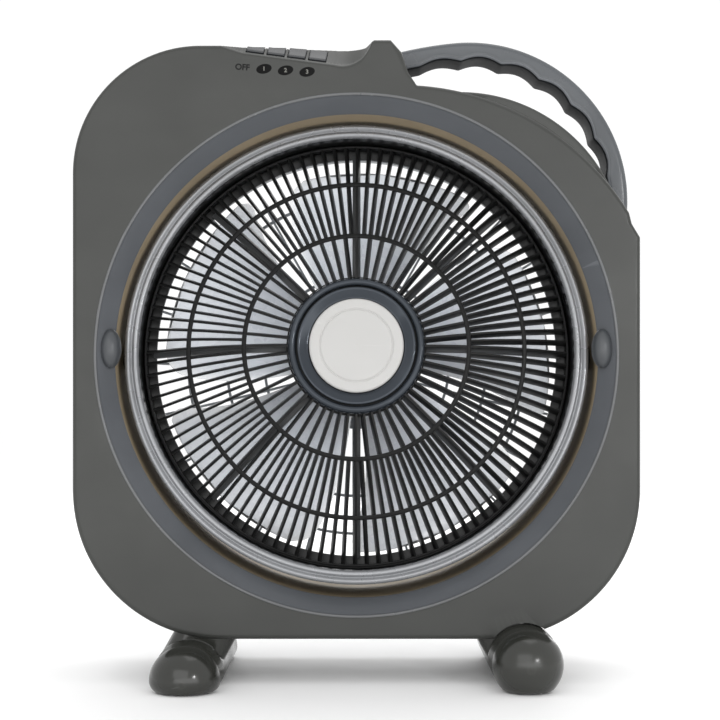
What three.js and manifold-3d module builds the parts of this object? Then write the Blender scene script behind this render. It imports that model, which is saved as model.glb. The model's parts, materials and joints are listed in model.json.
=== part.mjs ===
// A 12-inch box fan: a hollow two-shell housing with a corner handle, four piano keys and two feet,
// and a round head that tilts in the housing's opening. The head holds a motor with a five-blade
// rotor, a fixed eight-arm spider and a domed louver grille that turns on a spindle in front of it.
// Millimetres. +Z is up, the air leaves towards -Y, and the origin is on the floor under the centre.
import * as THREE from "three";
import { mergeVertices } from "three/addons/utils/BufferGeometryUtils.js";
import Module from "manifold-3d";

const wasm = await Module();
wasm.setup();

// ---- Driving dimensions ----
const CLEARANCE = 0.3; // between touching pieces
const FAN_CENTRE_Z = 240; // height of the fan's axis above the floor
const HALF_WIDTH = 207; // housing, from its centre to each side
const HALF_DEPTH = 60; // housing, from the seam to its front or rear face
const HOUSING_TOP = 226; // above the fan's axis
const CORNER_TOP = 93; // radius of the top left corner
const CORNER_BOTTOM = 108; // radius of the two bottom corners
const WALL = 3; // shell thickness
const EDGE_ROUND = 3.5; // rounding of the housing's front and rear edges
const DRUM_R = 178; // inner radius of the housing's round opening
const DISH_R = 190; // outer radius of the sloping band round the opening
const DISH_DEPTH = 14; // how far the band falls back
const HEAD_R = 172.5; // outer radius of the tilting head
const HEAD_HALF_DEPTH = 34;
const SHROUD_WALL = 4.5;
const HEAD_TILT = THREE.MathUtils.degToRad(6); // the head leans back by this at rest
const LOUVER_R = 156; // outer radius of the turning grille
const LOUVER_HUB_R = 50;
const LOUVER_RIM_Y = -24; // front of the grille's rim, in the head
const LOUVER_RISE = 40; // how far the grille's hub stands proud of its rim
const INNER_RING_R = 82;
const OUTER_RING_R = 122;
const VANES = 32; // outside the inner ring; every second one reaches the hub
const VANE_THICKNESS = 2.4;
const VANE_DEPTH = 8;
const VANE_SLANT = THREE.MathUtils.degToRad(14);
const SPIDER_ARMS = 8;
const BLADES = 5;
const BLADE_TIP_R = 149;
const BLADE_HUB_R = 44;
const MOTOR_R = 43;
const SHAFT_R = 4;
const HANDLE_CENTRE = new THREE.Vector2(85, 118); // of the handle's circular outer edge
const HANDLE_R = 120.5;
const HANDLE_HALF_DEPTH = 18;
const FOOT_X = 122; // from the centre to each foot's tube
const FOOT_HALF_LENGTH = 108;
const FOOT_BASE_Z = 1.2; // underside of a foot, above the floor
const KEY_PITCH = 15.2;
const KEY_WIDTH = 12.2;
const SEAM_GAP = CLEARANCE / 2;
const DRUM_SEGMENTS = 56; // sides of the housing's round opening
const HEAD_SEGMENTS = 48; // sides of the head's rings, which nest side by side

// ---- Solids ----
// A closed three.js geometry as a manifold solid with its faces out.
function solid(geometry) {
  const bare = new THREE.BufferGeometry();
  const source = geometry.index ? geometry.toNonIndexed() : geometry;
  bare.setAttribute("position", source.getAttribute("position"));
  const merged = mergeVertices(bare, 1e-3);
  const vertProperties = new Float32Array(merged.attributes.position.array);
  const triVerts = new Uint32Array(merged.index.array);
  if (signedVolume(vertProperties, triVerts) < 0) {
    for (let i = 0; i < triVerts.length; i += 3) {
      [triVerts[i + 1], triVerts[i + 2]] = [triVerts[i + 2], triVerts[i + 1]];
    }
  }
  return new wasm.Manifold(new wasm.Mesh({ numProp: 3, vertProperties, triVerts }));
}

function signedVolume(points, triangles) {
  const [a, b, c] = [new THREE.Vector3(), new THREE.Vector3(), new THREE.Vector3()];
  let sum = 0;
  for (let i = 0; i < triangles.length; i += 3) {
    a.fromArray(points, 3 * triangles[i]);
    b.fromArray(points, 3 * triangles[i + 1]);
    c.fromArray(points, 3 * triangles[i + 2]);
    sum += a.dot(b.cross(c));
  }
  return sum / 6;
}

const union = (solids) => wasm.Manifold.union(solids);

// A named mesh of a solid, with its own material.
function mesh(name, shape, look) {
  const { numProp, numVert, vertProperties, triVerts } = shape.getMesh();
  const points = new Float32Array(numVert * 3);
  for (let i = 0; i < numVert; i += 1) {
    points.set(vertProperties.subarray(i * numProp, i * numProp + 3), i * 3);
  }
  const geometry = new THREE.BufferGeometry();
  geometry.setAttribute("position", new THREE.BufferAttribute(points, 3));
  geometry.setIndex(new THREE.BufferAttribute(triVerts, 1));
  geometry.computeVertexNormals();
  const [color, roughness, metalness] = look;
  const made = new THREE.Mesh(
    geometry,
    new THREE.MeshStandardMaterial({ color, roughness, metalness }),
  );
  made.name = name;
  return made;
}

// A box between two corners.
function box([x0, y0, z0], [x1, y1, z1]) {
  const geometry = new THREE.BoxGeometry(x1 - x0, y1 - y0, z1 - z0);
  return solid(geometry.translate((x0 + x1) / 2, (y0 + y1) / 2, (z0 + z1) / 2));
}

// A body of revolution about Y from [radius, y] pairs; it closes on itself unless it meets the axis.
function lathe(profile, segments = 64) {
  const points = profile.map(([r, y]) => new THREE.Vector2(r, y));
  if (profile[0][0] > 0 || profile.at(-1)[0] > 0) points.push(points[0].clone());
  return solid(new THREE.LatheGeometry(points, segments));
}

// A plain ring or disc about Y.
function ring(inner, outer, y0, y1, segments = 64) {
  return inner > 0
    ? lathe([[inner, y0], [outer, y0], [outer, y1], [inner, y1]], segments)
    : lathe([[0, y0], [outer, y0], [outer, y1], [0, y1]], segments);
}

// An outline in the X-Z plane, extruded along Y, with its two faces' edges rounded by "round".
function plate(outline, y0, y1, round = 0, curveSegments = 7) {
  const geometry = new THREE.ExtrudeGeometry(outline, {
    depth: y1 - y0 - 2 * round,
    curveSegments,
    bevelEnabled: round > 0,
    bevelThickness: round,
    bevelSize: round,
    bevelOffset: -round,
    bevelSegments: 2,
  });
  return solid(geometry.rotateX(Math.PI / 2).translate(0, y1 - round, 0));
}

// A skin through rings of points. Each ring has the same even number of points, and its two halves
// face each other, so that the ends close as a strip.
function loft(rings) {
  const n = rings[0].length;
  const points = rings.flat();
  const faces = [];
  const quad = (a, b, c, d) => faces.push(a, b, c, a, c, d);
  for (let i = 0; i < rings.length - 1; i += 1) {
    for (let j = 0; j < n; j += 1) {
      const k = (j + 1) % n;
      quad(i * n + j, i * n + k, (i + 1) * n + k, (i + 1) * n + j);
    }
  }
  const last = (rings.length - 1) * n;
  for (let j = 0; j < n / 2 - 1; j += 1) {
    quad(j, n - 1 - j, n - 2 - j, j + 1);
    quad(last + j, last + j + 1, last + n - 2 - j, last + n - 1 - j);
  }
  const geometry = new THREE.BufferGeometry().setFromPoints(points);
  geometry.setIndex(faces);
  return solid(geometry);
}

const vec = (x, y, z) => new THREE.Vector3(x, y, z);
const spread = (n) => Array.from({ length: n }, (_, i) => i);
const aboutY = (shape, turns) => shape.rotate([0, 360 * turns, 0]);

// ---- Looks: colour, roughness, metalness ----
const HOUSING_GREY = ["#55554f", 0.5, 0];
const HANDLE_GREY = ["#5f6468", 0.35, 0];
const BEZEL_SILVER = ["#8e9296", 0.3, 0.4];
const HEAD_GREY = ["#4a4d50", 0.45, 0];
const SPIDER_GREY = ["#6a6d70", 0.4, 0];
const LOUVER_BLACK = ["#171715", 0.4, 0];
const HUB_BLUE = ["#3f4a57", 0.25, 0.2];
const BADGE_WHITE = ["#d7d6d2", 0.4, 0];
const BLADE_GREY = ["#b9bec2", 0.3, 0];
const STEEL = ["#b4b4b0", 0.35, 1];
const BRONZE = ["#a08454", 0.5, 1];
const IRON = ["#5c5a56", 0.6, 1];
const RUBBER = ["#1d1d1c", 0.9, 0];
const WIRE_GREY = ["#3c3c3e", 0.7, 0];
const SWITCH_WHITE = ["#d8d4c8", 0.6, 0];

// ---- Housing ----
// The front outline in X-Z about the fan's axis: three rounded corners, a small peak on top where
// the handle starts, and a falling shoulder under the handle instead of the fourth corner.
const PEAK_TOP = HOUSING_TOP + 4;
const SHOULDER_START = new THREE.Vector2(44, 197);
const SHOULDER_END = new THREE.Vector2(199, 104);
const SHOULDER_R = 196;

function housingOutline(inset) {
  const left = -HALF_WIDTH + inset;
  const right = HALF_WIDTH - inset;
  const bottom = -HALF_WIDTH + inset;
  const top = HOUSING_TOP - inset;
  const bottomR = CORNER_BOTTOM - inset;
  const topR = CORNER_TOP - inset;
  const shape = new THREE.Shape();
  shape.moveTo(left + bottomR, bottom);
  shape.lineTo(right - bottomR, bottom);
  shape.absarc(right - bottomR, bottom + bottomR, bottomR, -Math.PI / 2, 0, false);
  shape.lineTo(right, 86);
  shape.lineTo(SHOULDER_END.x + 2 - inset, SHOULDER_END.y - 8);
  addShoulder(shape, inset);
  shape.lineTo(38 - inset, 206);
  shape.lineTo(33 - inset, 221 - inset);
  shape.lineTo(25, PEAK_TOP - inset);
  shape.lineTo(13, PEAK_TOP - inset);
  shape.lineTo(7, top);
  shape.lineTo(left + topR, top);
  shape.absarc(left + topR, top - topR, topR, Math.PI / 2, Math.PI, false);
  shape.lineTo(left, bottom + bottomR);
  shape.absarc(left + bottomR, bottom + bottomR, bottomR, Math.PI, 1.5 * Math.PI, false);
  return shape;
}

// The shoulder: an arc from beside the handle's lower end up to its upper end.
function addShoulder(shape, inset) {
  const middle = SHOULDER_START.clone().add(SHOULDER_END).multiplyScalar(0.5);
  const chord = SHOULDER_END.clone().sub(SHOULDER_START);
  const drop = Math.sqrt(SHOULDER_R ** 2 - (chord.length() / 2) ** 2);
  const across = new THREE.Vector2(chord.y, -chord.x).normalize();
  const centre = middle.addScaledVector(across, drop);
  const from = SHOULDER_END.clone().sub(centre).angle();
  const to = SHOULDER_START.clone().sub(centre).angle();
  shape.absarc(centre.x, centre.y, SHOULDER_R - inset, from, to, false);
}

// The housing's middle stands higher along the shoulder, under the fingers.
const CREST_FROM = new THREE.Vector2(195, 108);
const CREST_TO = new THREE.Vector2(50, 193);
const CREST_CENTRE = new THREE.Vector2(76.8, 72.5);
const CREST_R = 123.4;
const CREST_HALF_DEPTH = 42;

function shoulderCrest() {
  const from = CREST_FROM.clone().sub(CREST_CENTRE).angle();
  const to = CREST_TO.clone().sub(CREST_CENTRE).angle();
  const shape = new THREE.Shape();
  shape.absarc(CREST_CENTRE.x, CREST_CENTRE.y, CREST_R, from, to, false);
  return plate(shape, -CREST_HALF_DEPTH, CREST_HALF_DEPTH, EDGE_ROUND);
}

// The keys' recess: the front edge falls to the right, dips and climbs to the peak. Behind the face
// the recess rises as a sloping deck.
const DECK_FRONT_Y = -HALF_DEPTH + WALL;
const DECK_RISE = 0.85; // up per millimetre back
const DECK_FALL = -0.13; // up per millimetre right
const DECK_LEFT = new THREE.Vector2(-84, 221.3);

function recessOutline() {
  const shape = new THREE.Shape();
  const above = PEAK_TOP + 30;
  shape.moveTo(-102, above);
  shape.lineTo(-102, HOUSING_TOP + 1);
  shape.lineTo(DECK_LEFT.x, DECK_LEFT.y);
  shape.lineTo(-16, DECK_LEFT.y + DECK_FALL * (-16 - DECK_LEFT.x));
  shape.quadraticCurveTo(-6, 209.5, 3, 216);
  shape.quadraticCurveTo(8, 220, 11.5, PEAK_TOP);
  shape.lineTo(14, above);
  return shape;
}

function keyRecess() {
  const lip = plate(recessOutline(), -HALF_DEPTH - 2, DECK_FRONT_Y + 0.01, 0, 5);
  const back = DECK_FRONT_Y + 19;
  const slope = new THREE.ExtrudeGeometry(recessOutline(), {
    depth: back - DECK_FRONT_Y,
    bevelEnabled: false,
    curveSegments: 5,
  });
  slope.rotateX(Math.PI / 2).translate(0, back, 0);
  const points = slope.attributes.position;
  for (let i = 0; i < points.count; i += 1) {
    points.setZ(i, points.getZ(i) + DECK_RISE * (points.getY(i) - DECK_FRONT_Y));
  }
  return lip.add(solid(slope));
}

// The housing's outer solid with its round opening, before it is hollowed.
function housingBlock() {
  const bore = lathe([
    [0, -HALF_DEPTH - 1],
    [DISH_R + 1, -HALF_DEPTH - 1],
    [DRUM_R, -HALF_DEPTH + DISH_DEPTH],
    [DRUM_R, HALF_DEPTH - DISH_DEPTH],
    [DISH_R + 1, HALF_DEPTH + 1],
    [0, HALF_DEPTH + 1],
  ], DRUM_SEGMENTS);
  return plate(housingOutline(0), -HALF_DEPTH, HALF_DEPTH, EDGE_ROUND)
    .add(shoulderCrest())
    .subtract(bore);
}

// The hollow inside the housing, between its outer wall and the drum round the opening.
function housingHollow() {
  const face = HALF_DEPTH - WALL;
  const drum = lathe([
    [0, -face - 1],
    [DISH_R + WALL + 1, -face - 1],
    [DRUM_R + WALL, -face + DISH_DEPTH],
    [DRUM_R + WALL, face - DISH_DEPTH],
    [DISH_R + WALL + 1, face + 1],
    [0, face + 1],
  ], DRUM_SEGMENTS);
  const room = plate(housingOutline(WALL), -face, face).subtract(drum);
  const underDeck = keyRecess().translate([0, WALL, -WALL - 1]);
  const kept = [underDeck, ...pivotBlocks(), ...SCREW_PLACES.map(screwPost)];
  return room.subtract(union(kept));
}

// Solid blocks that hold the head's two pivot pins.
function pivotBlocks() {
  return [-1, 1].map((side) => {
    const [near, far] = [DRUM_R + 1, HALF_WIDTH - 1];
    const [x0, x1] = side > 0 ? [near, far] : [-far, -near];
    return box([x0, -28, -15], [x1, 28, 15]);
  });
}

const SCREW_PLACES = [[-158, -158], [158, -158], [0, -194], [-158, 166], [3, 203], [188, 66]];
const POST_R = 6.5;
const SCREW_R = 2;
const SCREW_HEAD_R = 4;
const SCREW_HEAD_DEPTH = 3;
const SCREW_TIP_Y = -18;

function screwPost([x, z]) {
  return ring(0, POST_R, -HALF_DEPTH + 1, HALF_DEPTH - 1, 8).translate([x, 0, z]);
}

function screwHole([x, z]) {
  const wide = SCREW_HEAD_R + CLEARANCE;
  const narrow = SCREW_R + CLEARANCE;
  return lathe([
    [0, SCREW_TIP_Y - 2],
    [narrow, SCREW_TIP_Y - 2],
    [narrow, HALF_DEPTH - SCREW_HEAD_DEPTH - 2 - CLEARANCE],
    [wide, HALF_DEPTH - SCREW_HEAD_DEPTH - 2 - CLEARANCE],
    [wide, HALF_DEPTH + 1],
    [0, HALF_DEPTH + 1],
  ], 8).translate([x, 0, z]);
}

function shellScrew([x, z]) {
  const under = HALF_DEPTH - SCREW_HEAD_DEPTH - 2;
  return lathe([
    [0, SCREW_TIP_Y],
    [SCREW_R, SCREW_TIP_Y + 2],
    [SCREW_R, under],
    [SCREW_HEAD_R, under],
    [SCREW_HEAD_R, under + SCREW_HEAD_DEPTH],
    [0, under + SCREW_HEAD_DEPTH],
  ], 8).translate([x, 0, z]);
}

// ---- Pivots ----
const PIN_HEAD_X = 164;
const PIN_END_X = 197;
const BUSH_R = 7;
const WASHER_R = 10;
const CAP_Z = 5; // the oval caps sit a little above the pins
const CAP_SIZE = vec(8, 8.5, 14.5);
const CAP_PLACE = vec(DRUM_R + 2.5, -51, CAP_Z);

// A body of revolution whose axis runs out along +X or -X.
function pivotLathe(profile, side, segments = 20) {
  return lathe(profile, segments).rotate([0, 0, -90 * side]);
}

function pivotPin(side) {
  return pivotLathe([
    [0, PIN_HEAD_X],
    [6, PIN_HEAD_X + 0.8],
    [6, PIN_HEAD_X + 3],
    [SHAFT_R, PIN_HEAD_X + 3],
    [SHAFT_R, PIN_END_X],
    [0, PIN_END_X],
  ], side);
}

function pivotHole(side) {
  const r = SHAFT_R + CLEARANCE;
  return pivotLathe([[0, 150], [r, 150], [r, PIN_END_X + 1], [0, PIN_END_X + 1]], side);
}

function capBody(side, grow) {
  const ball = new THREE.SphereGeometry(1, 12, 8).rotateX(Math.PI / 2);
  ball.scale(CAP_SIZE.x + grow, CAP_SIZE.y + grow, CAP_SIZE.z + grow);
  return solid(ball.translate(side * CAP_PLACE.x, CAP_PLACE.y, CAP_PLACE.z));
}

// ---- Handle ----
const HANDLE_FROM = THREE.MathUtils.degToRad(-14);
const HANDLE_TO = THREE.MathUtils.degToRad(117);
const GRIP_FROM = THREE.MathUtils.degToRad(10);
const GRIP_TO = THREE.MathUtils.degToRad(110);
const GRIP_SCALLOPS = 6;
const HANDLE_THICKNESS = 15;
const SCALLOP_DEPTH = 3.4;
const HANDLE_FOOT_Z = 89; // where its lower end stands in the housing's side

// A bar of nearly rectangular section bent to the circle, its inner face scalloped for fingers.
function handleBar(grow) {
  const steps = 4 * GRIP_SCALLOPS;
  const angles = [HANDLE_FROM, 0];
  for (const i of spread(steps + 1)) {
    angles.push(GRIP_FROM + ((GRIP_TO - GRIP_FROM) * i) / steps);
  }
  angles.push(HANDLE_TO);
  const bar = loft(angles.map((angle) => handleSection(angle, grow)));
  const under = box([150, -40, 0], [260, 40, HANDLE_FOOT_Z - grow]);
  return bar.subtract(under);
}

function handleSection(angle, grow) {
  const along = (angle - GRIP_FROM) / (GRIP_TO - GRIP_FROM);
  const gripped = along >= 0 && along <= 1;
  const wave = gripped ? Math.abs(Math.sin(along * GRIP_SCALLOPS * Math.PI)) : 0;
  const outer = HANDLE_R + grow;
  const inner = HANDLE_R - HANDLE_THICKNESS + SCALLOP_DEPTH * wave - grow;
  const half = HANDLE_HALF_DEPTH + grow;
  const cut = 4;
  const corners = [
    [inner, -half + cut], [inner + cut, -half], [outer - cut, -half], [outer, -half + cut],
    [outer, half - cut], [outer - cut, half], [inner + cut, half], [inner, half - cut],
  ];
  return corners.map(([r, y]) =>
    vec(HANDLE_CENTRE.x + r * Math.cos(angle), y, HANDLE_CENTRE.y + r * Math.sin(angle)));
}

// ---- Feet ----
const FOOT_R = 25.5;
const NOSE_LENGTH = 24;
const SADDLE_HALF_LENGTH = HALF_DEPTH - WALL - 0.6;
const SADDLE_TOP_Z = 62;
const FOOT_LEAN = 0.56; // sideways per millimetre up, towards the fan's centre
const PAD_R = 13;
const PAD_HEIGHT = 2.8;
const PAD_Y = 78;

// Each foot is a fat tube that runs front to back, with round noses and a flat underside, and a
// leaning saddle that goes up into the housing. Heights here are above the floor.
function footBody(side, tubeTop, grow) {
  const widest = tubeTop - 24.5;
  const rings = [];
  for (const y of noseStations()) {
    const back = Math.max(0, Math.abs(y) - (FOOT_HALF_LENGTH - NOSE_LENGTH)) / NOSE_LENGTH;
    const shrink = Math.sqrt(Math.max(0, 1 - back ** 2));
    rings.push(tubeRing(side, y, shrink * FOOT_R + grow, widest, tubeTop, shrink, grow));
  }
  const parts = [loft(rings), saddle(side, grow)];
  const base = box([-260, -200, -60], [260, 200, FOOT_BASE_Z - grow]);
  return union(parts).subtract(base);
}

function noseStations() {
  const nose = spread(5).map((i) => {
    const angle = (0.08 + (0.92 * i) / 4) * (Math.PI / 2);
    return FOOT_HALF_LENGTH - NOSE_LENGTH * (1 - Math.cos(Math.PI / 2 - angle));
  });
  const front = nose.map((y) => -y);
  return [...front, ...nose.reverse()].sort((a, b) => a - b);
}

function tubeRing(side, y, halfWidth, widest, top, shrink, grow) {
  const sides = 14;
  return spread(sides).map((i) => {
    const angle = (2 * Math.PI * (i + 0.5)) / sides;
    const up = Math.sin(angle);
    const reach = up > 0 ? (top - widest) * shrink + grow : (widest + 6) * shrink + grow;
    return vec(side * FOOT_X + halfWidth * Math.cos(angle), y, widest + reach * up);
  });
}

function saddle(side, grow) {
  const half = 24.5 + grow;
  const end = SADDLE_HALF_LENGTH + grow;
  const round = 9;
  const corners = [
    [-half, end - round], [-half + round, end], [half - round, end], [half, end - round],
    [half, -end + round], [half - round, -end], [-half + round, -end], [-half, -end + round],
  ];
  return loft([12, SADDLE_TOP_Z + grow].map((z) => {
    const middle = FOOT_X - FOOT_LEAN * (z - 16);
    return corners.map(([x, y]) => vec(side * middle + x, y, z));
  }));
}

const FEET = [
  { side: -1, tubeTop: 32.6 }, // its tube passes under the housing's front edge
  { side: 1, tubeTop: 44 }, // its tube passes through an arch in the housing's lower edge
];

function padPlug(side, y, grow) {
  return solid(new THREE.CylinderGeometry(PAD_R + grow, PAD_R + grow, PAD_HEIGHT + grow, 24)
    .rotateX(Math.PI / 2)
    .translate(side * FOOT_X, y, (PAD_HEIGHT + grow) / 2));
}

function foot({ side, tubeTop }) {
  const pads = [-PAD_Y, PAD_Y].map((y) => padPlug(side, y, CLEARANCE));
  return footBody(side, tubeTop, 0).subtract(union(pads));
}

// ---- Keys ----
// The deck's own frame: u runs right along it, v runs up it to the back and n stands off it.
const DECK_N = vec(-DECK_FALL, -DECK_RISE, 1).normalize();
const DECK_U = vec(1, 0, DECK_FALL).normalize();
const DECK_V = DECK_N.clone().cross(DECK_U);
const KEY_NAMES = ["key_off", "key_1", "key_2", "key_3"];
const FIRST_KEY_X = -74.5;
const KEY_LENGTH = 15;
const KEY_PROUD = 1.8;
const KEY_SLIT = 2;
const KEY_STEM = 9;

function deckMatrix(x) {
  const z = DECK_LEFT.y + DECK_FALL * (x - DECK_LEFT.x);
  return new THREE.Matrix4()
    .makeBasis(DECK_U, DECK_V, DECK_N)
    .setPosition(x, DECK_FRONT_Y, z);
}

// A box in the deck's frame at a key's place: [u, v, n] low and high corners.
function deckBox(index, low, high) {
  const size = high.map((value, k) => value - low[k]);
  const middle = high.map((value, k) => (value + low[k]) / 2);
  const geometry = new THREE.BoxGeometry(...size).translate(...middle);
  return solid(geometry.applyMatrix4(deckMatrix(FIRST_KEY_X + KEY_PITCH * index)));
}

function key(index) {
  const half = KEY_WIDTH / 2;
  const pad = deckBox(index, [-half, KEY_SLIT, -4], [half, KEY_SLIT + KEY_LENGTH, KEY_PROUD]);
  const stem = deckBox(index, [-3, 7, -KEY_STEM], [3, 11, -3]);
  return pad.add(stem);
}

function keySlot(index) {
  const half = KEY_WIDTH / 2 + CLEARANCE + 0.1;
  const end = KEY_SLIT + KEY_LENGTH + CLEARANCE + 0.1;
  return deckBox(index, [-half, 0.6, -14], [half, end, 12]);
}

function switchBlock() {
  const low = [-8, 3, -26];
  const high = [3 * KEY_PITCH + 8, 15, -KEY_STEM - 4];
  return deckBox(0, low, high);
}

// ---- Shells ----
const INLET = { x: -140, z: -172, r: 8 };

function shells() {
  const cuts = [
    keyRecess(),
    ...spread(KEY_NAMES.length).map(keySlot),
    ...SCREW_PLACES.map(screwHole),
    handleBar(CLEARANCE + 0.05),
    pivotHole(-1),
    pivotHole(1),
    capBody(-1, CLEARANCE),
    capBody(1, CLEARANCE),
    ring(0, INLET.r + CLEARANCE, 40, HALF_DEPTH + 1, 24).translate([INLET.x, 0, INLET.z]),
    ...FEET.map(({ side, tubeTop }) =>
      footBody(side, tubeTop, CLEARANCE + 0.05).translate([0, 0, -FAN_CENTRE_Z])),
  ];
  const walls = housingBlock().subtract(housingHollow()).subtract(union(cuts));
  const reach = 300;
  const front = walls.intersect(box([-reach, -reach, -reach], [reach, -SEAM_GAP, reach]));
  const rear = walls.intersect(box([-reach, SEAM_GAP, -reach], [reach, reach, reach]));
  return { front: largest(front), rear: largest(rear) };
}

// The main body of a cut solid, without slivers.
function largest(shape) {
  return shape.decompose().reduce((a, b) => (a.volume() > b.volume() ? a : b));
}

function cordInlet() {
  return lathe([
    [4, HALF_DEPTH - 12],
    [INLET.r, HALF_DEPTH - 12],
    [INLET.r, HALF_DEPTH + CLEARANCE],
    [INLET.r + 4, HALF_DEPTH + CLEARANCE],
    [INLET.r + 2, HALF_DEPTH + 4],
    [4, HALF_DEPTH + 4],
  ], 16).translate([INLET.x, 0, INLET.z]);
}

function capacitor() {
  return box([-66, 12, -203], [-30, 32, -184]);
}

// The lead from the switch round the top left corner to the left pivot.
function wiringLoom() {
  const path = new THREE.CatmullRomCurve3([
    vec(-66, -14, 196), vec(-100, -8, 186), vec(-140, -2, 160), vec(-172, 2, 118),
    vec(-192, 6, 70), vec(-193, 8, 22),
  ]);
  const section = new THREE.Shape().absarc(0, 0, 2.6, 0, 2 * Math.PI, false);
  return solid(new THREE.ExtrudeGeometry(section, {
    steps: 16,
    curveSegments: 4,
    extrudePath: path,
  }));
}

// ---- Head ----
const SHROUD_IN = HEAD_R - SHROUD_WALL;
const BEZEL_BACK = -HEAD_HALF_DEPTH - CLEARANCE;
const RIM_OUT = SHROUD_IN - CLEARANCE;

function headShroud() {
  const body = ring(SHROUD_IN, HEAD_R, -HEAD_HALF_DEPTH, HEAD_HALF_DEPTH, HEAD_SEGMENTS);
  const holes = [-1, 1].map((side) => {
    const r = BUSH_R + CLEARANCE;
    return pivotLathe([[0, 160], [r, 160], [r, 180], [0, 180]], side);
  });
  return body.subtract(union(holes));
}

// A trim ring with two rounded ridges and a groove between them.
function headBezel() {
  return lathe([
    [163, BEZEL_BACK], [HEAD_R, BEZEL_BACK], [HEAD_R, -36.4], [170.6, -38.4], [168, -36.6],
    [165.6, -38.6], [163, -36.2],
  ], HEAD_SEGMENTS);
}

// The front line of the grille's dome at radius r.
function domeY(r) {
  const out = (r - LOUVER_HUB_R) / (LOUVER_R - LOUVER_HUB_R);
  return LOUVER_RIM_Y - LOUVER_RISE * (1 - out ** 2);
}

// A bar along the dome between stations at the given radii, "offset" behind its front line.
function domeBar(radii, halfWidth, offset, depth, slant) {
  return loft(radii.map((r) => {
    const front = domeY(r) + offset;
    const lean = depth * Math.tan(slant);
    return [
      vec(-halfWidth, front, r), vec(halfWidth, front, r),
      vec(halfWidth + lean, front + depth, r), vec(-halfWidth + lean, front + depth, r),
    ];
  }));
}

const around = (bar, count, start = 0, step = 1) =>
  spread(count).filter((i) => i % step === 0)
    .map((i) => aboutY(bar, (i + start) / count));

// The fixed spider behind the grille: funnel rim, eight arms and a boss for the spindle.
const SPIDER_BEHIND = 12;
const SPINDLE_R = 4;
const BOSS_R = 20;
const BOSS_FRONT = domeY(LOUVER_HUB_R) + SPIDER_BEHIND - 2;
const BOSS_DEPTH = 9;

function frontSpider() {
  const rim = lathe([
    [LOUVER_R - 8, -10], [RIM_OUT, -10], [RIM_OUT, -HEAD_HALF_DEPTH + 0.1],
    [163.2, -HEAD_HALF_DEPTH + 0.1], [LOUVER_R + 2, LOUVER_RIM_Y - 1], [LOUVER_R + 2, -14],
    [LOUVER_R - 8, -14],
  ], HEAD_SEGMENTS);
  const armRadii = [BOSS_R - 4, INNER_RING_R, OUTER_RING_R, LOUVER_R - 6];
  const arm = domeBar(armRadii, 3, SPIDER_BEHIND, 5, 0);
  const boss = ring(SPINDLE_R + CLEARANCE, BOSS_R, BOSS_FRONT, BOSS_FRONT + BOSS_DEPTH, 24);
  return union([rim, ...around(arm, SPIDER_ARMS), boss])
    .subtract(ring(0, SPINDLE_R + CLEARANCE, -80, 0, 24));
}

function spindle() {
  const from = BOSS_FRONT - 10;
  const flange = BOSS_FRONT + BOSS_DEPTH + CLEARANCE;
  return lathe([
    [0, from], [SPINDLE_R, from + 1], [SPINDLE_R, flange], [9, flange], [9, flange + 3],
    [0, flange + 3],
  ], 20);
}

// The rear guard: a shallow dome of ribs and rings with the motor's plate in its middle.
const GUARD_Y = HEAD_HALF_DEPTH;
const GUARD_RISE = 28;
const GUARD_PLATE_R = 50;
const GUARD_RIBS = 12;
const GUARD_HOOPS = [74, 104, 134];

function guardY(r) {
  return GUARD_Y + GUARD_RISE * (1 - ((r - GUARD_PLATE_R) / (RIM_OUT - GUARD_PLATE_R)) ** 2);
}

function rearGuard() {
  const rim = ring(RIM_OUT - 6, RIM_OUT, GUARD_Y - 8, GUARD_Y, HEAD_SEGMENTS);
  const rib = loft([GUARD_PLATE_R - 3, 90, 130, RIM_OUT - 3].map((r) => {
    const y = guardY(r);
    return [vec(-1.5, y - 5, r), vec(1.5, y - 5, r), vec(1.5, y - 1, r), vec(-1.5, y - 1, r)];
  }));
  const hoops = GUARD_HOOPS.map((r) =>
    ring(r - 1.5, r + 1.5, guardY(r) - 1.8, guardY(r) + 0.8, 2 * GUARD_RIBS));
  const disc = ring(0, GUARD_PLATE_R, guardY(GUARD_PLATE_R) - 5, guardY(GUARD_PLATE_R) - 1, 32);
  const bore = ring(0, 12, 0, 99, 24);
  return union([rim, disc, ...around(rib, GUARD_RIBS), ...hoops])
    .subtract(union([bore, ...motorScrewPlaces().map(motorScrewHole)]));
}

// ---- Motor ----
const PLATE_FRONT = GUARD_Y + GUARD_RISE - 5;
const MOTOR_BACK = PLATE_FRONT - CLEARANCE;
const MOTOR_FRONT = MOTOR_BACK - 38;
const MOTOR_SPLIT = (MOTOR_FRONT + MOTOR_BACK) / 2;
const MOTOR_WALL = 2.5;
const BEARING_R = 9;

// One half of the motor's case, open towards the split, with a bearing seat.
function motorCup(closed, open) {
  const inward = Math.sign(open - closed);
  const face = closed + inward * MOTOR_WALL;
  const seat = closed + inward * 8;
  const edge = open - inward * SEAM_GAP;
  const [hole, bearing] = [SHAFT_R + 1, BEARING_R + CLEARANCE];
  return lathe([
    [hole, closed], [MOTOR_R - 5, closed], [MOTOR_R, closed + inward * 5], [MOTOR_R, edge],
    [MOTOR_R - MOTOR_WALL, edge], [MOTOR_R - MOTOR_WALL, face], [bearing + 3, face],
    [bearing + 3, seat], [bearing, seat], [bearing, face], [hole, face],
  ], 20);
}

function motorScrewPlaces() {
  return spread(4).map((i) => ((i + 0.5) * Math.PI) / 2);
}

const MOTOR_SCREW_PCD_R = 34;

function motorScrewHole(angle) {
  const [x, z] = [MOTOR_SCREW_PCD_R * Math.cos(angle), MOTOR_SCREW_PCD_R * Math.sin(angle)];
  return ring(0, 1.6 + CLEARANCE, MOTOR_BACK - 5, 99, 10).translate([x, 0, z]);
}

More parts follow.
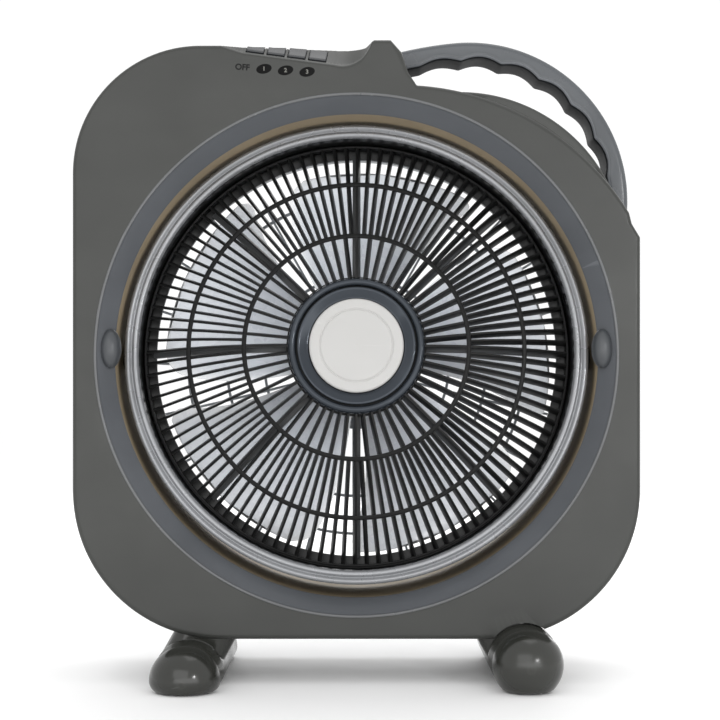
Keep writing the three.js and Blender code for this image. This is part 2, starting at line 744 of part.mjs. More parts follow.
function motorScrew(angle) {
  const [x, z] = [MOTOR_SCREW_PCD_R * Math.cos(angle), MOTOR_SCREW_PCD_R * Math.sin(angle)];
  const under = PLATE_FRONT + 4 + CLEARANCE;
  return lathe([
    [0, MOTOR_BACK - 1.6], [1.6, MOTOR_BACK - 1.6], [1.6, under], [3.4, under], [3.4, under + 1.6],
    [0, under + 2.4],
  ], 10).translate([x, 0, z]);
}

function bearing(closed, inward) {
  const near = closed + inward * (MOTOR_WALL + CLEARANCE);
  const [y0, y1] = [near, near + inward * 5].sort((a, b) => a - b);
  return ring(SHAFT_R + 0.1, BEARING_R, y0, y1, 20);
}

// ---- Rotor ----
const BLADE_FRONT = -12;
const BLADE_BACK = 15;
const BLADE_MID = 6; // the twist line of the blades, along the shaft
const ROTOR_CORE_R = 22;

// One blade as a thin twisted skin from the hub to its wide rounded tip.
function blade() {
  const stations = 5;
  return loft(spread(stations).map((i) => {
    const along = i / (stations - 1);
    const r = BLADE_HUB_R - 3 + (BLADE_TIP_R - BLADE_HUB_R + 3) * along;
    const pitch = THREE.MathUtils.degToRad(28 - 18 * along);
    const chord = 50 + 108 * along;
    const skew = 0.16 * along ** 2;
    const thickness = 3 - 1.2 * along;
    return bladeSection(r, pitch, chord, skew, thickness);
  }));
}

function bladeSection(r, pitch, chord, skew, thickness) {
  const across = 4;
  const side = (offset) => spread(across + 1).map((j) => {
    const s = (j / across - 0.5) * chord;
    const camber = 0.07 * chord * (1 - (2 * s / chord) ** 2);
    const y = BLADE_MID - s * Math.sin(pitch) + (camber + offset) * Math.cos(pitch);
    const arc = (s * Math.cos(pitch) + (camber + offset) * Math.sin(pitch)) / r + skew;
    return vec(r * Math.sin(arc), y, r * Math.cos(arc));
  });
  return [...side(-thickness / 2), ...side(thickness / 2).reverse()];
}

function fanBlade() {
  const hub = lathe([
    [SHAFT_R + 0.1, BLADE_FRONT], [BLADE_HUB_R - 6, BLADE_FRONT],
    [BLADE_HUB_R, BLADE_FRONT + 6], [BLADE_HUB_R, BLADE_BACK],
    [BLADE_HUB_R - 3, BLADE_BACK], [BLADE_HUB_R - 3, BLADE_FRONT + 8], [11, BLADE_FRONT + 6],
    [11, BLADE_BACK - 2], [SHAFT_R + 0.1, BLADE_BACK - 2],
  ], 20);
  return union([hub, ...around(blade(), BLADES)]).subtract(driveSlot());
}

function driveSlot() {
  return box([-9.4, BLADE_BACK - 6, -1.9], [9.4, BLADE_BACK + 1, 1.9]);
}

function drivePin() {
  const y = BLADE_BACK - 4;
  const bar = new THREE.CylinderGeometry(1.5, 1.5, 18, 12).rotateZ(Math.PI / 2);
  return solid(bar.translate(0, y, 0));
}

function motorShaft() {
  const bore = solid(new THREE.CylinderGeometry(1.8, 1.8, 20, 12).rotateZ(Math.PI / 2)
    .translate(0, BLADE_BACK - 4, 0));
  return ring(0, SHAFT_R, BLADE_FRONT - 11, MOTOR_BACK + 6, 20).subtract(bore);
}

function spinnerNut() {
  return lathe([
    [SHAFT_R + CLEARANCE, BLADE_FRONT - CLEARANCE], [16, BLADE_FRONT - CLEARANCE],
    [14, BLADE_FRONT - 6], [7, BLADE_FRONT - 10.5], [SHAFT_R + CLEARANCE, BLADE_FRONT - 10.5],
  ], 20);
}

function rotorCore() {
  return ring(SHAFT_R + 0.1, ROTOR_CORE_R, MOTOR_SPLIT - 9, MOTOR_SPLIT + 9, 20);
}

function stator() {
  return ring(ROTOR_CORE_R + 0.6, MOTOR_R - MOTOR_WALL - 0.4, MOTOR_SPLIT - 9, MOTOR_SPLIT + 9, 20);
}

// ---- Louver ----
const HUB_FRONT = domeY(LOUVER_HUB_R) - 4;

function louverGrille() {
  const outer = domeBar([INNER_RING_R, OUTER_RING_R, LOUVER_R - 1.5], VANE_THICKNESS / 2, 0,
    VANE_DEPTH, VANE_SLANT);
  const inner = domeBar([LOUVER_HUB_R - 2, INNER_RING_R], VANE_THICKNESS / 2, 0,
    VANE_DEPTH, VANE_SLANT);
  const hoop = (r) => ring(r - 1.8, r + 1.8, domeY(r) - 2.6, domeY(r) + 0.8, VANES);
  const rim = ring(LOUVER_R - 3, LOUVER_R, LOUVER_RIM_Y - 1, LOUVER_RIM_Y + 9, VANES);
  return union([
    ...around(outer, VANES),
    ...around(inner, VANES, 0, 2),
    hoop(INNER_RING_R),
    hoop(OUTER_RING_R),
    rim,
    louverHub(),
  ]);
}

// The grille's hub: a dished ring with a bearing sleeve on the spindle.
function louverHub() {
  const back = domeY(LOUVER_HUB_R) + 8;
  const sleeve = SPINDLE_R + CLEARANCE;
  return lathe([
    [sleeve, HUB_FRONT + 5.2], [44, HUB_FRONT + 5.2], [46, HUB_FRONT], [LOUVER_HUB_R, HUB_FRONT],
    [LOUVER_HUB_R + 1, back], [LOUVER_HUB_R - 3, back], [LOUVER_HUB_R - 4, HUB_FRONT + 9],
    [10, HUB_FRONT + 9], [10, back - 1.2], [sleeve, back - 1.2],
  ], VANES / 2);
}

function hubRing() {
  const back = HUB_FRONT + 5.2 - CLEARANCE;
  return lathe([[34.6, back], [43, back], [43, HUB_FRONT + 1], [35.6, HUB_FRONT + 3.2],
    [34.6, HUB_FRONT + 3.4]], VANES / 2);
}

function badge() {
  const back = HUB_FRONT + 5.2 - CLEARANCE;
  return lathe([
    [SPINDLE_R + 1.5, back], [34.3, back], [34.3, HUB_FRONT + 1.4], [33.3, HUB_FRONT + 0.4],
    [27.2, HUB_FRONT], [26.4, HUB_FRONT + 0.7], [25.6, HUB_FRONT], [0, HUB_FRONT - 0.8],
    [0, HUB_FRONT + 1.6], [SPINDLE_R + 1.5, HUB_FRONT + 1.6],
  ], VANES / 2);
}

// ---- Assembly ----
const fan = new THREE.Group();
const housing = new THREE.Group();
housing.position.z = FAN_CENTRE_Z;
const head = new THREE.Group();
head.rotation.x = -HEAD_TILT;
housing.add(head);
fan.add(housing);

const { front, rear } = shells();
housing.add(mesh("front_shell", front, HOUSING_GREY));
housing.add(mesh("rear_shell", rear, HOUSING_GREY));
housing.add(mesh("carry_handle", handleBar(0), HANDLE_GREY));
housing.add(mesh("switch_block", switchBlock(), SWITCH_WHITE));
housing.add(mesh("capacitor", capacitor(), SWITCH_WHITE));
housing.add(mesh("wiring_loom", wiringLoom(), WIRE_GREY));
housing.add(mesh("cord_inlet", cordInlet(), RUBBER));
KEY_NAMES.forEach((name, i) => housing.add(mesh(name, key(i), HANDLE_GREY)));
SCREW_PLACES.forEach((place, i) =>
  housing.add(mesh(`shell_screw_${i + 1}`, shellScrew(place), STEEL)));

FEET.forEach((made) => {
  const where = made.side < 0 ? "left" : "right";
  fan.add(mesh(`foot_${where}`, foot(made), HOUSING_GREY));
  fan.add(mesh(`foot_pad_${where}_front`, padPlug(made.side, -PAD_Y, 0), RUBBER));
  fan.add(mesh(`foot_pad_${where}_rear`, padPlug(made.side, PAD_Y, 0), RUBBER));
});

for (const side of [-1, 1]) {
  const where = side < 0 ? "left" : "right";
  const bush = [[SHAFT_R + CLEARANCE, SHROUD_IN], [BUSH_R, SHROUD_IN], [BUSH_R, HEAD_R - 0.2],
    [SHAFT_R + CLEARANCE, HEAD_R - 0.2]];
  const washer = [[SHAFT_R + CLEARANCE, HEAD_R + CLEARANCE], [WASHER_R, HEAD_R + CLEARANCE],
    [WASHER_R, DRUM_R - 0.6], [SHAFT_R + CLEARANCE, DRUM_R - 0.6]];
  housing.add(mesh(`pivot_pin_${where}`, pivotPin(side), STEEL));
  housing.add(mesh(`pivot_cap_${where}`, capBody(side, 0), HEAD_GREY));
  head.add(mesh(`pivot_bush_${where}`, pivotLathe(bush, side), BRONZE));
  head.add(mesh(`friction_washer_${where}`, pivotLathe(washer, side), RUBBER));
}

head.add(mesh("head_shroud", headShroud(), HEAD_GREY));
head.add(mesh("head_bezel", headBezel(), BEZEL_SILVER));
head.add(mesh("front_spider", frontSpider(), SPIDER_GREY));
head.add(mesh("louver_spindle", spindle(), STEEL));
head.add(mesh("rear_guard", rearGuard(), HEAD_GREY));
const rearCup = motorCup(MOTOR_BACK, MOTOR_SPLIT)
  .subtract(union(motorScrewPlaces().map(motorScrewHole)));
head.add(mesh("motor_front_cover", motorCup(MOTOR_FRONT, MOTOR_SPLIT), IRON));
head.add(mesh("motor_rear_cover", rearCup, IRON));
head.add(mesh("motor_stator", stator(), IRON));
head.add(mesh("bearing_front", bearing(MOTOR_FRONT, 1), BRONZE));
head.add(mesh("bearing_rear", bearing(MOTOR_BACK, -1), BRONZE));
motorScrewPlaces().forEach((angle, i) =>
  head.add(mesh(`motor_screw_${i + 1}`, motorScrew(angle), STEEL)));

head.add(mesh("motor_shaft", motorShaft(), STEEL));
head.add(mesh("motor_rotor", rotorCore(), IRON));
head.add(mesh("fan_blade", fanBlade(), BLADE_GREY));
head.add(mesh("drive_pin", drivePin(), STEEL));
head.add(mesh("spinner_nut", spinnerNut(), HEAD_GREY));

head.add(mesh("louver_grille", louverGrille(), LOUVER_BLACK));
head.add(mesh("louver_hub_ring", hubRing(), HUB_BLUE));
head.add(mesh("centre_badge", badge(), BADGE_WHITE));

export default fan;
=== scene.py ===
"""The looks of a box fan with a tilting head and a turning louver grille.

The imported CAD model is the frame: it fixes every place, size and motion. This script replaces its
faceted shells, handle, feet, keys, rings, grille, blades and guard with finer meshes in the same
places, gives every piece a procedural material, and sets up the floor, the light and the camera.
Lengths are millimetres until a mesh is made.
"""

import json
import math

import bmesh
import bpy
import numpy as np
from mathutils import Matrix, Vector


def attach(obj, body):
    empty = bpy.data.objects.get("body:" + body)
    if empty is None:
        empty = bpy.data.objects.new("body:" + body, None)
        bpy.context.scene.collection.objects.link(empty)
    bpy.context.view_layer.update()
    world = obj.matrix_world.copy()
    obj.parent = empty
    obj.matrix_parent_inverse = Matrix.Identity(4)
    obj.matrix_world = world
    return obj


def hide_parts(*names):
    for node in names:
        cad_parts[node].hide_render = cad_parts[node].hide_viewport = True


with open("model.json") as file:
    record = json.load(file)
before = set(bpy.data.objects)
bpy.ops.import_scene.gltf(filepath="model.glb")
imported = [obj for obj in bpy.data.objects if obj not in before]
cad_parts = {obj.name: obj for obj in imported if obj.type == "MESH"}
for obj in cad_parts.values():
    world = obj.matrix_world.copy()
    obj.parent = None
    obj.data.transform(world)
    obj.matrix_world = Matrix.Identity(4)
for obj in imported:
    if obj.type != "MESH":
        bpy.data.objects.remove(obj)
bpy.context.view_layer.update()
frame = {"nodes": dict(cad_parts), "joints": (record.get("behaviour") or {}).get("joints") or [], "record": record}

# ---- Places and sizes that come from the frame ----
MM = 0.001
SHARP_FROM = 35  # degrees between two faces that make their edge a sharp one
LOUVER_WIDER = 3.5  # the vanes run right out to the bezel
JOINTS = {joint["name"]: joint for joint in frame["joints"]}
AXIS_POINT = Vector(JOINTS["head_tilt"]["pos_m"])
SPIN = Vector(JOINTS["louver_spin"]["axis"])
HOUSING = Matrix.Translation(AXIS_POINT) @ Matrix.Scale(MM, 4)
HEAD = HOUSING @ Matrix.Rotation(-math.atan2(-SPIN.z, SPIN.y), 4, "X")
FLOOR = Matrix.Scale(MM, 4)


def extent(node, place):
    """Lowest and highest corner of a CAD node in a local frame, in millimetres."""
    back = place.inverted()
    points = np.array([back @ v.co for v in frame["nodes"][node].data.vertices])
    return Vector(points.min(0)), Vector(points.max(0))


SHELL_LOW, SHELL_HIGH = extent("front_shell", HOUSING)
HALF_WIDTH = SHELL_HIGH.x
HALF_DEPTH = -SHELL_LOW.y
PEAK_TOP = SHELL_HIGH.z
HOUSING_TOP = PEAK_TOP - 4
HEAD_R = extent("head_shroud", HEAD)[1].x
HEAD_HALF_DEPTH = extent("head_shroud", HEAD)[1].y
LOUVER_R = extent("louver_grille", HEAD)[1].x + LOUVER_WIDER
HUB_FRONT = extent("louver_grille", HEAD)[0].y
BADGE_R = extent("centre_badge", HEAD)[1].x
FOOT_HALF_LENGTH = extent("foot_right", FLOOR)[1].y
FOOT_BASE_Z = extent("foot_right", FLOOR)[0].z
PLATE_BACK = extent("rear_guard", HEAD)[1].y
MOTOR_FRONT = extent("motor_front_cover", HEAD)[0].y
MOTOR_BACK = extent("motor_rear_cover", HEAD)[1].y
MOTOR_R = extent("motor_rear_cover", HEAD)[1].x
BLADE_FRONT = extent("fan_blade", HEAD)[0].y


# ---- Meshes: a form is a list of points and a list of faces, in millimetres ----
def joined(*forms):
    """Several forms as one."""
    points, faces = [], []
    for more_points, more_faces in forms:
        start = len(points)
        points += [Vector(p) for p in more_points]
        faces += [[start + i for i in face] for face in more_faces]
    return points, faces


def skin(rings, closed=False, caps=True):
    """A skin through rings of points. It closes on itself, or its two ends are capped."""
    n = len(rings[0])
    points = [Vector(p) for ring in rings for p in ring]
    faces = []
    last = len(rings) if closed else len(rings) - 1
    for i in range(last):
        a, b = i * n, ((i + 1) % len(rings)) * n
        faces += [[a + j, a + (j + 1) % n, b + (j + 1) % n, b + j] for j in range(n)]
    if caps and not closed:
        faces.append(list(range(n))[::-1])
        faces.append([last * n + j for j in range(n)])
    return points, faces


def filleted(corners, radius, closed=True, steps=4):
    """A polyline with its corners rounded by short curves."""
    made = []
    count = len(corners)
    for i, corner in enumerate(corners):
        here = Vector(corner)
        if not closed and i in (0, count - 1):
            made.append(here)
            continue
        before, after = Vector(corners[i - 1]), Vector(corners[(i + 1) % count])
        cut = min(radius, (before - here).length * 0.45, (after - here).length * 0.45)
        start = here + (before - here).normalized() * cut
        end = here + (after - here).normalized() * cut
        for k in range(steps + 1):
            t = k / steps
            made.append(start * (1 - t) ** 2 + here * 2 * t * (1 - t) + end * t**2)
    return made


def lathe(profile, radius=0.5, segments=128, steps=4):
    """A body of revolution about Y from a closed profile of (radius, y) corners."""
    line = filleted([Vector(p) for p in profile], radius, True, steps)
    rings = []
    for k in range(segments):
        angle = 2 * math.pi * k / segments
        rings.append([(max(p.x, 0.01) * math.sin(angle), p.y, max(p.x, 0.01) * math.cos(angle))
                      for p in line])
    return skin(rings, closed=True)


def turned(form, angle):
    """A form turned about Y."""
    turn = Matrix.Rotation(angle, 4, "Y")
    return [turn @ Vector(p) for p in form[0]], form[1]


def moved(form, offset):
    return [Vector(p) + Vector(offset) for p in form[0]], form[1]


def around(form, count):
    """Evenly spaced copies of a form about Y."""
    return joined(*[turned(form, 2 * math.pi * i / count) for i in range(count)])


def block(low, high):
    x0, y0, z0 = low
    x1, y1, z1 = high
    points = [(x0, y0, z0), (x1, y0, z0), (x1, y1, z0), (x0, y1, z0),
              (x0, y0, z1), (x1, y0, z1), (x1, y1, z1), (x0, y1, z1)]
    faces = [[0, 3, 2, 1], [4, 5, 6, 7], [0, 1, 5, 4], [1, 2, 6, 5], [2, 3, 7, 6], [3, 0, 4, 7]]
    return points, faces


def new_object(name, parts, place, looks):
    """An object from (form, look number) parts. place takes them to the scene, in metres."""
    bm = bmesh.new()
    for (points, faces), look in parts:
        verts = [bm.verts.new(place @ Vector(p)) for p in points]
        for face in faces:
            made = bm.faces.new([verts[i] for i in face])
            made.material_index = look
    bmesh.ops.remove_doubles(bm, verts=bm.verts, dist=2e-6)
    bmesh.ops.dissolve_degenerate(bm, edges=bm.edges, dist=1e-6)
    bmesh.ops.recalc_face_normals(bm, faces=bm.faces)
    mesh = bpy.data.meshes.new(name)
    bm.to_mesh(mesh)
    bm.free()
    made = bpy.data.objects.new(name, mesh)
    bpy.context.scene.collection.objects.link(made)
    for look in looks:
        mesh.materials.append(look)
    shade(mesh)
    return made


def shade(mesh, sharp=SHARP_FROM):
    mesh.shade_smooth()
    mesh.set_sharp_from_angle(angle=math.radians(sharp))


def boolean(target, parts, place, operation, sharp=SHARP_FROM):
    """Cuts or joins a target with closed forms, and applies it."""
    tool = new_object("tool", [(form, 0) for form in parts], place, [])
    modifier = target.modifiers.new(operation, "BOOLEAN")
    modifier.operation = operation
    modifier.solver = "EXACT"
    modifier.use_self = len(parts) > 1
    modifier.object = tool
    graph = bpy.context.evaluated_depsgraph_get()
    result = bpy.data.meshes.new_from_object(target.evaluated_get(graph))
    target.modifiers.clear()
    target.data = result
    bpy.data.objects.remove(tool)
    shade(result, sharp)
    return target


def fitted(made, body, slot, *nodes):
    """Rides a piece on its body, in place of the CAD nodes that it stands for."""
    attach(made, body)
    if nodes:
        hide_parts(*nodes)
    return made


# ---- Materials ----
class Finish:
    """Builds one node material, with a few helpers for its links."""

    def __init__(self, name, colour, roughness, metallic=0.0):
        self.material = bpy.data.materials.new(name)
        self.material.use_nodes = True
        self.tree = self.material.node_tree
        self.shader = self.tree.nodes["Principled BSDF"]
        self.shader.inputs["Metallic"].default_value = metallic
        self.place = self.tree.nodes.new("ShaderNodeTexCoord").outputs["Object"]
        self.colour = [linear(c) for c in colour]
        self.roughness = roughness

    def noise(self, scale, detail=3.0, stretch=(1, 1, 1)):
        mapping = self.tree.nodes.new("ShaderNodeMapping")
        mapping.inputs["Scale"].default_value = stretch
        made = self.tree.nodes.new("ShaderNodeTexNoise")
        made.inputs["Scale"].default_value = scale
        made.inputs["Detail"].default_value = detail
        self.tree.links.new(self.place, mapping.inputs["Vector"])
        self.tree.links.new(mapping.outputs[0], made.inputs["Vector"])
        return made.outputs["Fac"]

    def ranged(self, value, low, high, start=0.3, end=0.7):
        made = self.tree.nodes.new("ShaderNodeMapRange")
        made.inputs["From Min"].default_value = start
        made.inputs["From Max"].default_value = end
        made.inputs["To Min"].default_value = low
        made.inputs["To Max"].default_value = high
        self.tree.links.new(value, made.inputs["Value"])
        return made.outputs["Result"]

    def mix(self, amount, first, second):
        made = self.tree.nodes.new("ShaderNodeMix")
        made.data_type = "RGBA"
        self.tree.links.new(amount, made.inputs["Factor"])
        for socket, value in ((made.inputs[6], first), (made.inputs[7], second)):
            if isinstance(value, bpy.types.NodeSocket):
                self.tree.links.new(value, socket)
            else:
                socket.default_value = (*value, 1)
        return made.outputs[2]

    def bump(self, height, strength, distance, under=None):
        made = self.tree.nodes.new("ShaderNodeBump")
        made.inputs["Strength"].default_value = strength
        made.inputs["Distance"].default_value = distance
        self.tree.links.new(height, made.inputs["Height"])
        if under:
            self.tree.links.new(under, made.inputs["Normal"])
        return made.outputs["Normal"]

    def edges(self):
        """0 on flats and 1 on the sharp outer edges."""
        point = self.tree.nodes.new("ShaderNodeNewGeometry").outputs["Pointiness"]
        return self.ranged(point, 0.0, 1.0, 0.52, 0.58)

    def finish(self, colour, roughness, normal):
        for name, value in (("Base Color", colour), ("Roughness", roughness), ("Normal", normal)):
            self.tree.links.new(value, self.shader.inputs[name])
        return self.material


def linear(value):
    return value / 12.92 if value <= 0.04045 else ((value + 0.055) / 1.055) ** 2.4


def moulded(name, colour, roughness, grain=1.0, mottle=0.1, wear=0.35, metallic=0.0,
            specular=0.5):
    """Moulded plastic: spark-eroded grain, faint flow marks, handling marks and rubbed edges."""
    made = Finish(name, colour, roughness, metallic)
    made.shader.inputs["Specular IOR Level"].default_value = specular
    flow = made.ranged(made.noise(9, 4, (1, 1, 2.5)), 0, 1)
    dark = [c * (1 - mottle) for c in made.colour]
    light = [c * (1 + mottle) for c in made.colour]
    base = made.mix(flow, dark, light)
    rubbed = [min(1, c * (1 + wear) + 0.01) for c in made.colour]
    base = made.mix(made.edges(), base, rubbed)
    smear = made.ranged(made.noise(28, 5), roughness - 0.06, roughness + 0.08)
    low = made.bump(made.noise(60, 2), 0.04, 0.0006)
    normal = made.bump(made.noise(1600, 2), 0.1 * grain, 0.00025, low)
    return made.finish(base, smear, normal)


def turned_metal(name, colour, roughness, stretch=(40, 1, 40)):
    """Plated or machined metal, with fine tool lines and slight tarnish."""
    made = Finish(name, colour, roughness, 1.0)
    dull = [c * 0.72 for c in made.colour]
    base = made.mix(made.ranged(made.noise(70, 4), 0, 1), dull, made.colour)
    lines = made.noise(60, 2, stretch)
    rough = made.ranged(lines, roughness - 0.06, roughness + 0.1)
    return made.finish(base, rough, made.bump(lines, 0.12, 0.0001))


def cast_iron(name, colour, roughness):
    """Painted pressed or cast metal, slightly pitted."""
    made = Finish(name, colour, roughness, 0.6)
    stain = made.ranged(made.noise(45, 5), 0, 1)
    base = made.mix(stain, [c * 0.7 for c in made.colour], made.colour)
    rough = made.ranged(made.noise(140, 4), roughness - 0.1, roughness + 0.12)
    return made.finish(base, rough, made.bump(made.noise(900, 3), 0.25, 0.0003))


def soft_rubber(name, colour, roughness=0.85):
    """Soft rubber with a dusty bloom."""
    made = Finish(name, colour, roughness)
    bloom = made.ranged(made.noise(90, 5), 0, 1, 0.45, 0.8)
    base = made.mix(bloom, made.colour, [c * 1.9 + 0.01 for c in made.colour])
    rough = made.ranged(made.noise(200, 3), roughness - 0.08, roughness + 0.08)
    return made.finish(base, rough, made.bump(made.noise(1200, 3), 0.3, 0.0003))


def thin_plastic(name, colour, roughness):
    """Pale blade plastic that lets a little light through."""
    made = Finish(name, colour, roughness)
    made.shader.inputs["Subsurface Weight"].default_value = 1.0
    made.shader.inputs["Subsurface Radius"].default_value = (0.02, 0.021, 0.023)
    made.shader.inputs["Subsurface Scale"].default_value = 1.0
    dust = made.ranged(made.noise(16, 6), 0, 1, 0.4, 0.75)
    base = made.mix(dust, made.colour, [c * 0.93 for c in made.colour])
    rough = made.ranged(made.noise(80, 4), roughness - 0.06, roughness + 0.12)
    return made.finish(base, rough, made.bump(made.noise(500, 2), 0.05, 0.0003))


HOUSING_GREY = moulded("housing_grey", (0.2, 0.204, 0.195), 0.38, specular=0.4)
FOOT_GREY = moulded("foot_gloss_grey", (0.16, 0.163, 0.15), 0.2, grain=0.15)
# Painted light: the dish is the housing's plastic, made lighter and bluer as if lit from below.
DISH_PAINTED_SHEEN = moulded("dish_painted_sheen_grey", (0.325, 0.335, 0.35), 0.34, specular=0.4)
# Painted highlight: a pale ring on the dish's outer edge, where light catches it.
DISH_EDGE_PAINTED_HIGHLIGHT = moulded("dish_edge_painted_highlight", (0.34, 0.345, 0.35), 0.3)
# Painted reflection: the drum wall is the housing's plastic, tinted light and warm as a reflection.
DRUM_PAINTED_REFLECTION = moulded("drum_painted_warm_reflection", (0.58, 0.52, 0.42), 0.72)
HANDLE_GREY = moulded("handle_grey", (0.3, 0.312, 0.325), 0.24, grain=0.3)
# Painted shade: the dark grey of the handle's inner faces, which turn down and away from the light.
GRIP_PAINTED_SHADE = moulded("grip_painted_shade", (0.13, 0.137, 0.146), 0.6, specular=0.08)
# Painted highlight: a pale strip on the handle's front inner edge, where light catches it.
GRIP_PAINTED_HIGHLIGHT = moulded("grip_painted_highlight_edge", (0.43, 0.44, 0.455), 0.25, grain=0.2)
KEY_GREY = moulded("key_grey", (0.13, 0.138, 0.15), 0.24, grain=0.3)
BEZEL_SILVER = moulded("bezel_silver", (0.54, 0.545, 0.555), 0.27, grain=0.15, metallic=0.5)
HEAD_GREY = moulded("head_grey", (0.24, 0.25, 0.262), 0.3, grain=0.5)
FUNNEL_DARK = moulded("funnel_dark", (0.09, 0.092, 0.093), 0.32, grain=0.4, specular=0.3)
GUARD_PALE = moulded("guard_pale", (0.6, 0.615, 0.63), 0.4, grain=0.4)
SPIDER_GREY = moulded("spider_grey", (0.3, 0.305, 0.31), 0.4, grain=0.5, specular=0.3)
LOUVER_BLACK = moulded("louver_black", (0.04, 0.041, 0.041), 0.42, grain=0.3, wear=0.3,
                       specular=0.16)
HUB_BLUE = moulded("hub_blue", (0.18, 0.2, 0.225), 0.15, grain=0.1, metallic=0.5)
BADGE_WHITE = moulded("badge_white", (0.675, 0.672, 0.665), 0.42, grain=0.5, mottle=0.03,
                      wear=0.05)
MARK_BLACK = moulded("mark_black", (0.02, 0.02, 0.02), 0.6, grain=0.3, wear=0, specular=0.1)
MARK_PALE = moulded("mark_pale", (0.42, 0.42, 0.4), 0.6, grain=0.3, wear=0, specular=0.2)
BLADE_GREY = thin_plastic("blade_grey", (0.6, 0.61, 0.625), 0.25)
STEEL = turned_metal("steel", (0.72, 0.72, 0.7), 0.3)
BRONZE = turned_metal("bronze", (0.63, 0.52, 0.33), 0.45)
MOTOR_IRON = cast_iron("motor_iron", (0.36, 0.355, 0.345), 0.5)
RUBBER = soft_rubber("rubber", (0.115, 0.115, 0.112))
WIRE_GREY = soft_rubber("wire_grey", (0.2, 0.2, 0.21), 0.6)
SWITCH_CREAM = moulded("switch_cream", (0.84, 0.82, 0.76), 0.55, mottle=0.05, wear=0.1)

SLOT_LOOKS = {
    "housing_grey": HOUSING_GREY, "handle_grey": HANDLE_GREY, "key_grey": KEY_GREY,
    "bezel_silver": BEZEL_SILVER, "head_grey": HEAD_GREY, "spider_grey": SPIDER_GREY,
    "louver_black": LOUVER_BLACK, "hub_blue": HUB_BLUE, "badge_white": BADGE_WHITE,
    "blade_grey": BLADE_GREY, "steel": STEEL, "bronze": BRONZE, "motor_iron": MOTOR_IRON,
    "rubber": RUBBER, "wire_grey": WIRE_GREY, "switch_white": SWITCH_CREAM,
}


def dress_cad_nodes():
    """Gives every CAD node the finish of its slot; the pieces below then replace some of them."""
    for row in frame["record"]["subparts"]:
        node = frame["nodes"][row["node"]]
        for place in node.material_slots:
            place.material = SLOT_LOOKS[row["material_slot"]]


# ---- Camera, floor and light ----
CAMERA_FROM = Vector((0.0026, -1.15, 0.208))  # level, a little below the fan's axis
FRAME_WIDTH = 0.524  # metres across the picture at the housing's front
PICTURE_MIDDLE_Z = 0.2365  # height of the picture's middle there
SENSOR = 36.0
WORLD_STRENGTH = 1.05


def add_camera():
    data = bpy.data.cameras.new("camera")
    data.sensor_width = SENSOR
    data.lens = SENSOR * (-HALF_DEPTH * MM - CAMERA_FROM.y) / FRAME_WIDTH
    data.shift_y = (PICTURE_MIDDLE_Z - CAMERA_FROM.z) / FRAME_WIDTH
    made = bpy.data.objects.new("camera", data)
    made.location = CAMERA_FROM
    made.rotation_euler = (math.pi / 2, 0, 0)
    bpy.context.scene.collection.objects.link(made)
    bpy.context.scene.camera = made


def add_floor():
    made = Finish("floor_paper", (0.985, 0.985, 0.985), 0.75)
    base = made.mix(made.noise(3, 3), [c * 0.985 for c in made.colour], made.colour)
    rough = made.ranged(made.noise(40, 3), 0.7, 0.8)
    look = made.finish(base, rough, made.bump(made.noise(400, 2), 0.02, 0.0002))
    half = 9.0 / MM
    corners = [(-half, -half, 0), (half, -half, 0), (half, half, 0), (-half, half, 0)]
    form = (corners, [[0, 1, 2, 3]])
    new_object("floor", [(form, 0)], FLOOR, [look])


def add_light(name, place, power, width, height, aim=(0, 0, 0.24)):
    data = bpy.data.lights.new(name, "AREA")
    data.shape = "RECTANGLE"
    data.energy = power
    data.size = width
    data.size_y = height
    made = bpy.data.objects.new(name, data)
    made.location = place
    made.rotation_euler = (Vector(aim) - Vector(place)).to_track_quat("-Z", "Y").to_euler()
    made.visible_camera = False
    bpy.context.scene.collection.objects.link(made)


def add_lights():
    world = bpy.data.worlds.new("studio")
    world.use_nodes = True
    sky = world.node_tree.nodes["Background"]
    sky.inputs["Color"].default_value = (1.0, 1.0, 1.0, 1)
    sky.inputs["Strength"].default_value = WORLD_STRENGTH
    bpy.context.scene.world = world
    add_light("window", (-0.5, -2.4, 1.3), 10, 2.2, 1.2)
    add_light("floor_glow", (0.1, -1.2, 0.02), 7, 1.8, 0.7, (0.0, 0.0, 0.45))
    add_light("flash", (0.75, -1.35, 0.5), 3, 0.1, 0.08, (0.0, 0.0, 0.28))
    add_light("top", (0.2, 0.2, 2.2), 5, 1.4, 1.0)
    add_light("back", (0.3, 1.9, 0.8), 14, 1.8, 1.2)


# ---- Housing: outlines in X-Z about the fan's axis ----
WALL = 3
EDGE_ROUND = 3.5
CORNER_TOP = 93
CORNER_BOTTOM = 108
DRUM_R = 178
DISH_R = 190
DISH_DEPTH = 14
SEAM_GAP = 0.15
SHELL_SHARP_FROM = 30
SHOULDER_START = Vector((44, 197))
SHOULDER_END = Vector((199, 104))
SHOULDER_R = 196
CREST_FROM = Vector((195, 108))
CREST_TO = Vector((50, 193))
CREST_CENTRE = Vector((76.8, 72.5))
CREST_R = 123.4
CREST_HALF_DEPTH = 42
DECK_START = WALL  # behind the front face
DECK_END = 22
DECK_RISE = 0.85
DECK_FALL = -0.13
DECK_LEFT = Vector((-84, 221.3))
NEVER = 1e6


def arc(centre, radius, start, end, step=1.5):
    count = max(2, round(abs(math.degrees(end - start)) / step))
    turns = [start + (end - start) * i / count for i in range(count + 1)]
    return [Vector((centre[0] + radius * math.cos(a), centre[1] + radius * math.sin(a)))
            for a in turns]


def direction(vector):
    return math.atan2(vector.y, vector.x)


